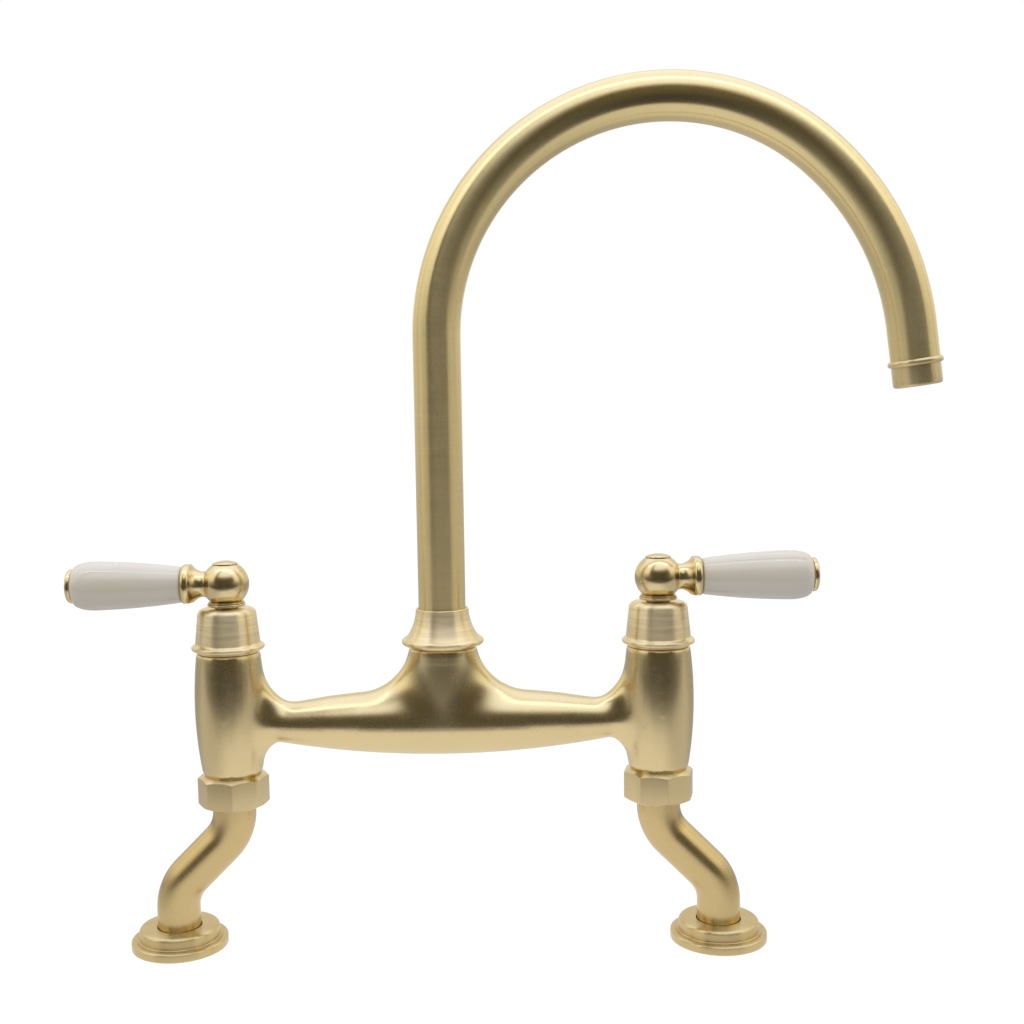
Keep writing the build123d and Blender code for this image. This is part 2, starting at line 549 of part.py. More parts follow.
def lever_hub():
    """Ball of the lever with its neck and ferrule, bored for the spindle, screw and rod."""
    ball = Pos(0, 0, LEVER_Z) * Sphere(BALL_RADIUS)
    ball -= rod(BALL_RADIUS, LEVER_Z - BALL_RADIUS, BALL_FLAT_Z)
    hub = ball + along_lever(neck_and_ferrule())
    hub -= rod(SPLINE_RADIUS + THREAD_GAP, BALL_FLAT_Z, SPLINE_TOP_Z)
    hub -= rod(SCREW_RADIUS + FREE_GAP, SPLINE_TOP_Z, SCREW_SEAT_Z)
    hub -= rod(SCREW_HEAD_RADIUS + FREE_GAP, SCREW_SEAT_Z, BUTTON_FOOT_Z)
    hub -= rod(BUTTON_RADIUS + THREAD_GAP, BUTTON_FOOT_Z, LEVER_Z + BALL_RADIUS)
    return hub - along_lever(rod(ROD_RADIUS + THREAD_GAP, FERRULE_REACH - ROD_GRIP, FERRULE_REACH))


def lever_collar():
    """Beaded ring between the spindle's shoulder and the ball."""
    return bead(SPLINE_RADIUS + THREAD_GAP, COLLAR_RING_RADIUS, SPLINE_FOOT_Z, BALL_FLAT_Z)


def hub_screw():
    """Cap screw that holds the lever on the spindle."""
    head_top = SCREW_SEAT_Z + SCREW_HEAD_HEIGHT
    screw = rod(SCREW_RADIUS, SPLINE_TOP_Z - SCREW_LENGTH, SCREW_SEAT_Z)
    screw += rod(SCREW_HEAD_RADIUS, SCREW_SEAT_Z, head_top)
    corner = SCREW_SOCKET / math.sqrt(3)
    socket = extrude(RegularPolygon(corner, 6), -SCREW_HEAD_HEIGHT / 2)
    return screw - Pos(0, 0, head_top) * socket


def top_button():
    """Domed button that closes the screw hole."""
    edge_z = BUTTON_FOOT_Z + BUTTON_HEIGHT
    dome_radius = (BUTTON_RADIUS ** 2 + BUTTON_DOME ** 2) / (2 * BUTTON_DOME)
    dome = RadiusArc((BUTTON_RADIUS, edge_z), (0, edge_z + BUTTON_DOME), -dome_radius)
    plug = Polyline((0, edge_z + BUTTON_DOME), (0, BUTTON_FOOT_Z), (BUTTON_RADIUS, BUTTON_FOOT_Z),
                    (BUTTON_RADIUS, edge_z))
    return turned(make_face(dome + plug))


def handle_rod():
    """Threaded rod through the handle, from the hub to the finial."""
    return along_lever(rod(ROD_RADIUS, FERRULE_REACH - ROD_GRIP, HANDLE_END + FINIAL_THICKNESS / 2))


def handle_washer():
    """Thin washer between the ferrule and the ceramic."""
    return along_lever(tube(ROD_RADIUS + THREAD_GAP, HANDLE_WASHER_RADIUS, FERRULE_REACH, HANDLE_START))


def ceramic_handle():
    """Pear-shaped glazed handle with a hole for the rod."""
    nose = HANDLE_END - HANDLE_NOSE
    swell = HANDLE_FULLNESS * (HANDLE_ROOT_RADIUS + HANDLE_BELLY_RADIUS)
    side = ThreePointArc((HANDLE_ROOT_RADIUS, HANDLE_START), (swell, (HANDLE_START + nose) / 2),
                         (HANDLE_BELLY_RADIUS, nose))
    end = EllipticalCenterArc((HANDLE_END_RADIUS, nose), HANDLE_BELLY_RADIUS - HANDLE_END_RADIUS, HANDLE_NOSE,
                              arc_size=90)
    hole = ROD_RADIUS + FREE_GAP
    rest = Polyline((HANDLE_END_RADIUS, HANDLE_END), (hole, HANDLE_END), (hole, HANDLE_START),
                    (HANDLE_ROOT_RADIUS, HANDLE_START))
    return along_lever(turned(make_face(side + end + rest)))


def end_finial():
    """Beaded brass nut on the end of the rod."""
    disc = bead(0, FINIAL_RADIUS, HANDLE_END, HANDLE_END + FINIAL_THICKNESS)
    return along_lever(disc - rod(ROD_RADIUS + THREAD_GAP, HANDLE_END, HANDLE_END + FINIAL_THICKNESS / 2))


def on_main_bend(degrees):
    """Point of the main bend's centre line, at an angle up from level."""
    angle = math.radians(degrees)
    return Vector(BEND_RADIUS, 0, SPRING_Z) + Vector(math.cos(angle), 0, math.sin(angle)) * BEND_RADIUS


def on_easy_bend(degrees):
    """Point of the easier bend, which leaves the main one without a kink."""
    angle = math.radians(degrees)
    start = math.radians(EASE_ANGLE)
    centre = on_main_bend(EASE_ANGLE) - Vector(math.cos(start), 0, math.sin(start)) * EASE_RADIUS
    return centre + Vector(math.cos(angle), 0, math.sin(angle)) * EASE_RADIUS


def outlet_plane():
    """Plane across the end of the spout tube, with its normal along the water."""
    tilt = math.radians(OUTLET_TILT)
    along = Vector(math.sin(tilt), 0, -math.cos(tilt))
    end = on_easy_bend(OUTLET_TILT) + along * OUTLET_STRAIGHT
    return Plane(origin=end, x_dir=(math.cos(tilt), 0, math.sin(tilt)), z_dir=along)


def spout_path():
    """Centre line of the swan neck: a riser, two tangent bends and a short straight."""
    over = on_main_bend(EASE_ANGLE)
    down = on_easy_bend(OUTLET_TILT)
    edges = [
        Line((0, 0, TUBE_FOOT_Z), (0, 0, SPRING_Z)),
        ThreePointArc((0, 0, SPRING_Z), on_main_bend(90), over),
        ThreePointArc(over, on_easy_bend((EASE_ANGLE + OUTLET_TILT) / 2), down),
        Line(down, outlet_plane().origin),
    ]
    return Wire(edges)


def spout_tube():
    """Bent tube of the swan neck."""
    path = spout_path()
    start = Plane((0, 0, TUBE_FOOT_Z))
    return sweep(start * Circle(TUBE_RADIUS), path) - sweep(start * Circle(TUBE_BORE_RADIUS), path)


def spigot_oring_heights():
    """Heights of the two O-rings on the spout's spigot."""
    first = SPIGOT_FOOT_Z + SPIGOT_ORING_INSET
    return [first, first + SPIGOT_ORING_PITCH]


def spout_spigot():
    """Turned end of the spout: a plug in the tube, a flange and a bearing in the hub."""
    spigot = rod(SPIGOT_RADIUS, SPIGOT_FOOT_Z, SPIGOT_FLANGE_Z)
    spigot += rod(SPIGOT_FLANGE_RADIUS, SPIGOT_FLANGE_Z, TUBE_FOOT_Z)
    spigot += rod(TUBE_BORE_RADIUS - THREAD_GAP, TUBE_FOOT_Z, TUBE_FOOT_Z + SPIGOT_PLUG_LENGTH)
    spigot -= rod(SPIGOT_BORE_RADIUS, SPIGOT_FOOT_Z, TUBE_FOOT_Z + SPIGOT_PLUG_LENGTH)
    for height in spigot_oring_heights():
        spigot -= oring_groove(SPIGOT_RADIUS, height)
    return spigot


def spigot_orings():
    """The two O-rings of the spigot, as separate solids."""
    rings = [oring(SPIGOT_RADIUS - ORING_DEPTH, height) for height in spigot_oring_heights()]
    return Compound(children=rings)


def swivel_washer():
    """Plastic washer that the spout's flange turns on."""
    return tube(SPIGOT_BEARING_RADIUS, HUB_NECK_RADIUS - FREE_GAP, SWIVEL_WASHER_Z, SPIGOT_FLANGE_Z)


def spout_collar():
    """Flared collar screwed onto the hub, holding the spout's flange down."""
    low = HUB_TOP_Z + SPOUT_COLLAR_SKIRT_HEIGHT
    flare_z = low + SPOUT_COLLAR_BEAD_HEIGHT
    top = HUB_TOP_Z + SPOUT_COLLAR_HEIGHT
    half = SPOUT_COLLAR_BEAD_HEIGHT / 2
    skirt = HUB_RADIUS - FREE_GAP
    rim = SPOUT_COLLAR_BEAD_RADIUS - half
    spread = SPOUT_COLLAR_FLARE_RADIUS - SPOUT_COLLAR_TOP_RADIUS
    outside = [
        Polyline((skirt, HUB_TOP_Z), (skirt, low), (rim, low)),
        ThreePointArc((rim, low), (SPOUT_COLLAR_BEAD_RADIUS, low + half), (rim, flare_z)),
        Line((rim, flare_z), (SPOUT_COLLAR_FLARE_RADIUS, flare_z)),
        ThreePointArc((SPOUT_COLLAR_FLARE_RADIUS, flare_z),
                      (SPOUT_COLLAR_TOP_RADIUS + SPOUT_COLLAR_FLARE * spread, (flare_z + top) / 2),
                      (SPOUT_COLLAR_TOP_RADIUS, top)),
    ]
    shoulder = TUBE_FOOT_Z + FREE_GAP
    thread = HUB_NECK_RADIUS + THREAD_GAP
    hole = TUBE_RADIUS + FREE_GAP
    inside = Polyline((SPOUT_COLLAR_TOP_RADIUS, top), (hole, top), (hole, shoulder), (thread, shoulder),
                      (thread, HUB_TOP_Z), (skirt, HUB_TOP_Z))
    return turned(make_face(outside + [inside]))


def at_outlet(solid):
    """Put a piece made about Z, with the tube ending at height zero, onto the outlet."""
    return outlet_plane() * solid


def outlet_ring():
    """Bead brazed round the end of the tube."""
    return at_outlet(bead(TUBE_RADIUS, OUTLET_RING_RADIUS, -OUTLET_RING_HEIGHT, 0))


def outlet_nozzle():
    """Nozzle plugged into the tube, bored for the aerator."""
    neck = TUBE_BORE_RADIUS - THREAD_GAP
    edge = RadiusArc((TUBE_RADIUS, NOZZLE_LENGTH - NOZZLE_EDGE), (TUBE_RADIUS - NOZZLE_EDGE, NOZZLE_LENGTH),
                     -NOZZLE_EDGE)
    rest = Polyline((TUBE_RADIUS - NOZZLE_EDGE, NOZZLE_LENGTH), (NOZZLE_BORE_RADIUS, NOZZLE_LENGTH),
                    (NOZZLE_BORE_RADIUS, NOZZLE_FLOOR), (NOZZLE_WATERWAY_RADIUS, NOZZLE_FLOOR),
                    (NOZZLE_WATERWAY_RADIUS, -NOZZLE_PLUG_LENGTH), (neck, -NOZZLE_PLUG_LENGTH), (neck, 0),
                    (TUBE_RADIUS, 0), (TUBE_RADIUS, NOZZLE_LENGTH - NOZZLE_EDGE))
    return at_outlet(turned(make_face(edge + rest)))


def aerator_seal():
    """Rubber washer behind the aerator."""
    high = NOZZLE_FLOOR + AERATOR_SEAL_THICKNESS
    return at_outlet(tube(NOZZLE_WATERWAY_RADIUS, AERATOR_RADIUS, NOZZLE_FLOOR, high))


def aerator_screen():
    """Perforated steel disc that lies in the aerator's mouth."""
    low = NOZZLE_FLOOR + AERATOR_SEAL_THICKNESS + AERATOR_HEIGHT - SCREEN_THICKNESS
    disc = rod(AERATOR_MOUTH_RADIUS - THREAD_GAP, low, low + SCREEN_THICKNESS)
    return at_outlet(disc - aerator_holes(low, low + SCREEN_THICKNESS))


def aerator_holes(low, high):
    """Straight holes in rings round the middle, for screen and body alike."""
    holes = [rod(AERATOR_HOLE_RADIUS, low, high)]
    for ring in range(1, AERATOR_RINGS + 1):
        count = AERATOR_STEP * ring
        hole = Pos(ring * AERATOR_HOLE_PITCH, 0, 0) * rod(AERATOR_HOLE_RADIUS, low, high)
        holes += [Rot(0, 0, step * 360 / count) * hole for step in range(count)]
    return holes


def aerator_body():
    """Plastic aerator screwed into the nozzle from below."""
    low = NOZZLE_FLOOR + AERATOR_SEAL_THICKNESS
    high = low + AERATOR_HEIGHT
    body = rod(AERATOR_RADIUS, low, high) - rod(AERATOR_MOUTH_RADIUS, high - SCREEN_THICKNESS, high)
    return at_outlet(body - aerator_holes(low, high - SCREEN_THICKNESS))


CENTRE_PIECES = {
    "bridge_body": bridge_body,
    "spout_collar": spout_collar,
    "swivel_washer": swivel_washer,
    "spout_tube": spout_tube,
    "spout_spigot": spout_spigot,
    "spigot_orings": spigot_orings,
    "outlet_ring": outlet_ring,
    "outlet_nozzle": outlet_nozzle,
    "aerator_seal": aerator_seal,
    "aerator_screen": aerator_screen,
    "aerator_body": aerator_body,
}

VALVE_PIECES = {
    "leg": leg,
    "foot_flange": foot_flange,
    "foot_seal": foot_seal,
    "union_nut": union_nut,
    "union_washer": union_washer,
    "valve_cap": valve_cap,
    "cartridge_housing": cartridge_housing,
    "seat_seal": seat_seal,
    "fixed_disc": fixed_disc,
    "moving_disc": moving_disc,
    "spindle": spindle,
    "spindle_oring": spindle_oring,
    "lever_collar": lever_collar,
    "lever_hub": lever_hub,
    "hub_screw": hub_screw,
    "top_button": top_button,
    "handle_rod": handle_rod,
    "handle_washer": handle_washer,
    "ceramic_handle": ceramic_handle,
    "end_finial": end_finial,
}

os.makedirs("parts", exist_ok=True)
for name, make in CENTRE_PIECES.items():
    export_step(make(), f"parts/{name}.step")
for name, make in VALVE_PIECES.items():
    piece = make()
    for side in SIDES:
        export_step(at_valve(side, piece), f"parts/{side}_{name}.step")
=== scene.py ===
"""Looks of a bridge mixer kitchen tap: satin and brushed brass with ivory ceramic handles.

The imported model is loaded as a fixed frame. Each piece that shows is turned, bent or smoothed into a
finer mesh that stands for its node, and every other node gets a finish of its own. Sizes are in
millimetres, and are turned into metres when a piece is placed.
"""

import json
import logging
import math
from collections.abc import Callable
from dataclasses import dataclass
from enum import Enum

import bmesh
import bpy
from bmesh.types import BMEdge, BMesh, BMVert
from mathutils import Matrix, Vector


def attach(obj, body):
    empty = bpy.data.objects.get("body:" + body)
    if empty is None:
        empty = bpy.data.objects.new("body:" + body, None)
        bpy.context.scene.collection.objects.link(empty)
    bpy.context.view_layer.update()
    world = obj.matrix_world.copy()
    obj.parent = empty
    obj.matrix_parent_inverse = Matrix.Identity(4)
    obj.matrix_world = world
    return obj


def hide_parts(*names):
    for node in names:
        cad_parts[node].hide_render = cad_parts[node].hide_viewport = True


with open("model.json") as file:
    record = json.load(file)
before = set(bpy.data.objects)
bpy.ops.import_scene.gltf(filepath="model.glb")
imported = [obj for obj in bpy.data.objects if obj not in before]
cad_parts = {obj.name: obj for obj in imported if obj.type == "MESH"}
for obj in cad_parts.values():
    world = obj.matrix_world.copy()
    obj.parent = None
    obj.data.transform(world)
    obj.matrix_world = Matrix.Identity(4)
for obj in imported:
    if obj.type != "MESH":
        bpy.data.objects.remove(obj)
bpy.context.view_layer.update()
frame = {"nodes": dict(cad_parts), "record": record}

Node = bpy.types.Node
Socket = bpy.types.NodeSocket
Ring = list[BMEdge]
Span = tuple[float, float]
Triple = tuple[float, float, float]

LOG = logging.getLogger("tap")
MM = 0.001
VALVE_REACH = 90.0
TURN_STEPS = 128
ROUND_STEPS = 4
ARC_STEPS = 16
TUBE_FACETS = 96
SHARP_ANGLE = math.radians(38.0)
MERGE_DISTANCE = 1e-4
SMOOTH_SHARE = 0.5
TUBE_MAP = "tube_map"


class Side(Enum):
    """The two halves of the tap, with the sign of their X."""

    LEFT = -1
    RIGHT = 1

    def node(self, piece: str) -> str:
        """Full name of this side's node."""
        return f"{self.name.lower()}_{piece}"

    @property
    def valve(self) -> float:
        """X of this side's valve axis."""
        return self.value * VALVE_REACH

    def outwards(self) -> Matrix:
        """Turn that points +X of a piece away from the middle of the tap."""
        return Matrix.Rotation(0.0 if self is Side.RIGHT else math.pi, 4, "Z")


class Slot(Enum):
    """Material slots of the record."""

    SATIN_BRASS = "satin_brass"
    BRUSHED_BRASS = "brushed_brass"
    PLAIN_BRASS = "plain_brass"
    GLAZED_CERAMIC = "glazed_ceramic"
    DISC_CERAMIC = "disc_ceramic"
    SEAL_RUBBER = "seal_rubber"
    WASHER_FIBRE = "washer_fibre"
    AERATOR_PLASTIC = "aerator_plastic"
    STEEL = "steel"


@dataclass(frozen=True)
class Grain:
    """A noise: its blobs to a unit, its octaves and the weight of the finer ones."""

    scale: float
    detail: float
    roughness: float = 0.5


CLOUD = Grain(34.0, 3.0)
SMEAR = Grain(140.0, 4.0, 0.6)
BLAST = Grain(5200.0, 2.0, 0.6)
GLAZE_CLOUD = Grain(60.0, 2.0)
RIPPLE = Grain(260.0, 2.0)
MARK = Grain(1.0, 1.0)
CLOUD_SPAN = (0.3, 0.7)
SMEAR_SPAN = (0.32, 0.68)
# Brush marks: blobs to a metre along, blobs to a turn round, and the layer of the noise they are read from.
FINE_MARKS = (1700.0, 6.0, 0.0)
WIDE_MARKS = (800.0, 3.0, 3.0)
# Share of the radius that counts as way along a turned piece, so that flat faces are brushed in rings.
FACE_SHARE = 0.7
# Turn of the drawn-out highlight against the tangent, as a share of a full turn.
ACROSS_MARKS = 0.25
# Sockets of the Mix node when it mixes colours.
MIX_INPUTS = (0, 6, 7)
MIX_OUTPUT = 2
WHITE = (1.0, 1.0, 1.0)


def opaque(color: Triple, share: float = 1.0) -> tuple[float, ...]:
    """Share of a colour, with full alpha."""
    return tuple(share * part for part in color) + (1.0,)


class NodeSheet:
    """Thin helper round a node tree, so that a material reads as a list of its nodes."""

    def __init__(self, tree: bpy.types.NodeTree) -> None:
        """Empty the tree and keep it."""
        self.tree = tree
        tree.nodes.clear()

    def add(self, kind: str, **settings: object) -> Node:
        """Add one node.

        Args:
            kind: Blender's name of the node type.
            settings: Attributes to set on it.

        Returns:
            The new node.
        """
        node = self.tree.nodes.new(kind)
        for name, value in settings.items():
            setattr(node, name, value)
        return node

    def feed(self, socket: Socket, source: object) -> None:
        """Link a socket to an output, or set it to a plain value.

        Args:
            socket: Input to feed.
            source: Output socket, number or colour.
        """
        if isinstance(source, Socket):
            self.tree.links.new(source, socket)
        else:
            socket.default_value = source

    def fill(self, node: Node, sources: dict[str, object]) -> None:
        """Feed some inputs of a node by name."""
        for name, source in sources.items():
            self.feed(node.inputs[name], source)

    def result(self, kind: str, *sources: object, **settings: object) -> Socket:
        """Add a node and feed its inputs in order.

        Args:
            kind: Blender's name of the node type.
            sources: What its inputs are fed with.
            settings: Attributes to set on it.

        Returns:
            Its first output.
        """
        node = self.add(kind, **settings)
        for socket, source in zip(node.inputs, sources):
            self.feed(socket, source)
        return node.outputs[0]

    def math(self, operation: str, *values: object) -> Socket:
        """Result of one operation on sockets and numbers."""
        return self.result("ShaderNodeMath", *values, operation=operation)

    def ramp(self, value: object, span: Span, start: object = 0.0, end: object = 1.0) -> Socket:
        """Smooth step of a value over a span, from a start to an end."""
        return self.result("ShaderNodeMapRange", value, *span, start, end, interpolation_type="SMOOTHSTEP")

    def turn_ramp(self, turn: object, span: Span, start: object = 0.0, end: object = 1.0) -> Socket:
        """Smooth step of an angle over a span in degrees, from a start to an end."""
        return self.ramp(turn, tuple(math.radians(edge) for edge in span), start, end)

    def mixed(self, share: object, first: Socket, second: Socket) -> Socket:
        """Two shaders mixed by the share of the second."""
        return self.result("ShaderNodeMixShader", share, first, second)

    def blend(self, share: object, first: object, second: object) -> Socket:
        """Mix two colours.

        Args:
            share: Share of the second colour.
            first: First colour.
            second: Second colour.

        Returns:
            The mixed colour.
        """
        node = self.add("ShaderNodeMix", data_type="RGBA")
        for index, source in zip(MIX_INPUTS, (share, first, second)):
            self.feed(node.inputs[index], source)
        return node.outputs[MIX_OUTPUT]

    def noise(self, vector: Socket, grain: Grain) -> Socket:
        """Read a noise.

        Args:
            vector: Place to read it at.
            grain: The noise.

        Returns:
            Value from 0 to 1.
        """
        node = self.add("ShaderNodeTexNoise")
        self.fill(node, {"Vector": vector, "Scale": grain.scale, "Detail": grain.detail,
                         "Roughness": grain.roughness})
        return node.outputs["Fac"]

    def parts(self, vector: Socket) -> list[Socket]:
        """Split a vector.

        Args:
            vector: The vector.

        Returns:
            Its three components.
        """
        node = self.add("ShaderNodeSeparateXYZ")
        self.feed(node.inputs[0], vector)
        return list(node.outputs)

    def place(self, kind: str = "Object") -> Socket:
        """Coordinates of one kind."""
        return self.add("ShaderNodeTexCoord").outputs[kind]

    def group(self, name: str, build: Callable[[str], bpy.types.NodeTree], **sources: object) -> Node:
        """Place a node group that several materials share.

        Args:
            name: Name of the group.
            build: Function that builds it on first use.
            sources: What its named inputs are fed with.

        Returns:
            The group node.
        """
        node = self.add("ShaderNodeGroup", node_tree=bpy.data.node_groups.get(name) or build(name))
        self.fill(node, sources)
        return node

    def emboss(self, shader: Node, height: Socket, strength: float, depth: float) -> None:
        """Give a surface a fine relief.

        Args:
            shader: Shader of the surface.
            height: Height of the relief from 0 to 1.
            strength: How plainly it shows, from 0 to 1.
            depth: Its depth in millimetres.
        """
        bump = self.add("ShaderNodeBump")
        self.fill(bump, {"Strength": strength, "Distance": depth * MM, "Height": height})
        self.feed(shader.inputs["Normal"], bump.outputs[0])

    def end(self, kind: str, surface: Socket) -> None:
        """Lead a shader to an output of the given kind."""
        self.feed(self.add(kind).inputs["Surface"], surface)


def new_group(name: str, inputs: dict[str, str], outputs: tuple[str, ...]) -> tuple[NodeSheet, Node, Node]:
    """Start a shader node group.

    Args:
        name: Name of the group.
        inputs: Socket types by input name.
        outputs: Names of the outputs, which are numbers.

    Returns:
        The sheet to draw on, and the group's input and output nodes.
    """
    tree = bpy.data.node_groups.new(name, "ShaderNodeTree")
    for label, kind in inputs.items():
        tree.interface.new_socket(label, in_out="INPUT", socket_type=kind)
    for label in outputs:
        tree.interface.new_socket(label, in_out="OUTPUT", socket_type="NodeSocketFloat")
    sheet = NodeSheet(tree)
    return sheet, sheet.add("NodeGroupInput"), sheet.add("NodeGroupOutput")


def build_handling(name: str) -> bpy.types.NodeTree:
    """Cloudy change of tone and gloss that handling and cleaning leave on metal.

    Args:
        name: Name of the group.

    Returns:
        Group with a Place, the Tone from 0 to 1 and the Gloss from 0 to 1.
    """
    sheet, given, made = new_group(name, {"Place": "NodeSocketVector"}, ("Tone", "Gloss"))
    place = given.outputs["Place"]
    sheet.fill(made, {"Tone": sheet.ramp(sheet.noise(place, CLOUD), CLOUD_SPAN),
                      "Gloss": sheet.ramp(sheet.noise(place, SMEAR), SMEAR_SPAN)})
    return sheet.tree


def build_brush(name: str) -> bpy.types.NodeTree:
    """Fine brush marks that run round a piece.

    Args:
        name: Name of the group.

    Returns:
        Group with the way Along the axis in metres and Round it in turns, and the marks' Height and Streak.
    """
    ways = {"Along": "NodeSocketFloat", "Round": "NodeSocketFloat"}
    sheet, given, made = new_group(name, ways, ("Height", "Streak"))
    noises = []
    for per_metre, per_turn, layer in (FINE_MARKS, WIDE_MARKS):
        along = sheet.math("MULTIPLY", given.outputs["Along"], per_metre)
        around = sheet.math("MULTIPLY", given.outputs["Round"], per_turn)
        noises.append(sheet.noise(sheet.result("ShaderNodeCombineXYZ", along, around, layer), MARK))
    mean = sheet.math("MULTIPLY", sheet.math("ADD", *noises), 1 / len(noises))
    sheet.fill(made, {"Height": noises[0], "Streak": sheet.ramp(mean, CLOUD_SPAN)})
    return sheet.tree


@dataclass(frozen=True)
class Finish:
    """A finish of the tap: the part that every material has in common."""

    name: str
    slot: Slot
    color: Triple
    roughness: float
    metallic: float = 0.0
    dulling: float = 0.86
    gloss_swing: float = 0.08
    gloss_drop: float = 0.04

    def material(self) -> bpy.types.Material:
        """Find the material of this finish, or make it on first use.

        Returns:
            The material.
        """
        found = bpy.data.materials.get(self.name)
        if found:
            return found
        made = bpy.data.materials.new(self.name)
        made.use_nodes = True
        sheet = NodeSheet(made.node_tree)
        shader = sheet.add("ShaderNodeBsdfPrincipled")
        sheet.fill(shader, {"Metallic": self.metallic})
        self.dress(sheet, shader)
        sheet.end("ShaderNodeOutputMaterial", shader.outputs[0])
        return made

    def handled(self, sheet: NodeSheet, place: Socket) -> tuple[Socket, Socket]:
        """Draw the wear of the finish.

        Args:
            sheet: Sheet of the material.
            place: Object coordinates.

        Returns:
            Its tone and its roughness.
        """
        handling = sheet.group("Handling", build_handling, Place=place)
        tone = sheet.blend(handling.outputs["Tone"], opaque(self.color, self.dulling), opaque(self.color))
        return tone, self.swung(sheet, handling.outputs["Gloss"])

    def swung(self, sheet: NodeSheet, value: Socket) -> Socket:
        """Roughness that swings with a value from 0 to 1."""
        return sheet.math("MULTIPLY_ADD", value, self.gloss_swing, self.roughness - self.gloss_drop)

    def dress(self, sheet: NodeSheet, shader: Node) -> None:
        """Draw the nodes that feed the shader.

        Args:
            sheet: Sheet of the material.
            shader: Its Principled shader.
        """
        tone, gloss = self.handled(sheet, sheet.place())
        sheet.fill(shader, {"Base Color": tone, "Roughness": gloss})


@dataclass(frozen=True)
class SatinBrass(Finish):
    """Soft, even satin of the casting, the legs and the levers."""

    slot: Slot = Slot.SATIN_BRASS
    color: Triple = (0.7, 0.556, 0.28)
    roughness: float = 0.27
    metallic: float = 1.0
    dulling: float = 0.96
    gloss_swing: float = 0.02
    gloss_drop: float = 0.02
    blast_gloss: float = 0.02
    blast_strength: float = 0.0015
    blast_depth: float = 0.05

    def dress(self, sheet: NodeSheet, shader: Node) -> None:
        """Satin: cloudy tone, a fine blasted grain in the gloss and the normal.

        Args:
            sheet: Sheet of the material.
            shader: Its Principled shader.
        """
        place = sheet.place()
        tone, gloss = self.handled(sheet, place)
        blast = sheet.noise(place, BLAST)
        gloss = sheet.math("MULTIPLY_ADD", blast, self.blast_gloss, gloss)
        sheet.fill(shader, {"Base Color": tone, "Roughness": gloss})
        sheet.emboss(shader, blast, self.blast_strength, self.blast_depth)


@dataclass(frozen=True)
class BrushedBrass(Finish):
    """Brass brushed round the axis it was turned on, or round the tube it was drawn into."""

    slot: Slot = Slot.BRUSHED_BRASS
    color: Triple = (0.71, 0.565, 0.29)
    roughness: float = 0.3
    metallic: float = 1.0
    dulling: float = 0.97
    gloss_swing: float = 0.02
    gloss_drop: float = 0.02
    centre: Triple = (0.0, 0.0, 0.0)
    follows_path: bool = False
    stretch: float = 0.98
    mark_strength: float = 0.01
    mark_depth: float = 0.04
    mark_tone: float = 0.03
    mark_gloss: float = 0.02

    def dress(self, sheet: NodeSheet, shader: Node) -> None:
        """Brushing: streaks in tone, gloss and normal, and a highlight drawn out across the marks.

        Args:
            sheet: Sheet of the material.
            shader: Its Principled shader.
        """
        place = sheet.place()
        tone, gloss = self.handled(sheet, place)
        if self.follows_path:
            along, around = self.path_place(sheet)
            tangent = sheet.result("ShaderNodeTangent", direction_type="UV_MAP")
        else:
            along, around = self.turned_place(sheet, place)
            tangent = sheet.result("ShaderNodeTangent", direction_type="RADIAL", axis="Z")
        brush = sheet.group("Brush marks", build_brush, Along=along, Round=around)
        streak = brush.outputs["Streak"]
        sheet.fill(shader, {
            "Base Color": sheet.blend(streak, tone, opaque(self.color, 1.0 + self.mark_tone)),
            "Roughness": sheet.math("MULTIPLY_ADD", streak, self.mark_gloss, gloss),
            "Anisotropic": self.stretch,
            "Anisotropic Rotation": ACROSS_MARKS,
            "Tangent": tangent,
        })
        sheet.emboss(shader, brush.outputs["Height"], self.mark_strength, self.mark_depth)

    def turned_place(self, sheet: NodeSheet, place: Socket) -> tuple[Socket, Socket]:
        """Way along and round the axis of a turned piece.

        Args:
            sheet: Sheet of the material.
            place: Object coordinates.

        Returns:
            The way along the profile in metres, and round the axis in turns.
        """
        mapping = sheet.add("ShaderNodeMapping", vector_type="TEXTURE")
        sheet.fill(mapping, {"Vector": place, "Location": self.centre})
        x, y, z = sheet.parts(mapping.outputs[0])
        square = sheet.math("ADD", sheet.math("MULTIPLY", x, x), sheet.math("MULTIPLY", y, y))
        along = sheet.math("MULTIPLY_ADD", sheet.math("SQRT", square), FACE_SHARE, z)
        return along, sheet.math("DIVIDE", sheet.math("ARCTAN2", y, x), math.tau)

    def path_place(self, sheet: NodeSheet) -> tuple[Socket, Socket]:
        """Way along a bent tube in metres and round it in turns, from its own map."""
        around, along, _ = sheet.parts(sheet.result("ShaderNodeUVMap", uv_map=TUBE_MAP))
        return along, around


@dataclass(frozen=True)
class LitBellBrass(BrushedBrass):
    """Brass of the collar and the caps, with plainer brush marks, painted paler than the brushed brass: the
    paler tone is painted light for the bright reflection of the light above, and the brighter streaks are
    partly brush marks and partly painted light.
    """

    # Paler tone: painted light, a lit copy of the brushed brass.
    color: Triple = (0.78, 0.635, 0.355)
    roughness: float = 0.34
    mark_strength: float = 0.03
    mark_tone: float = 0.2


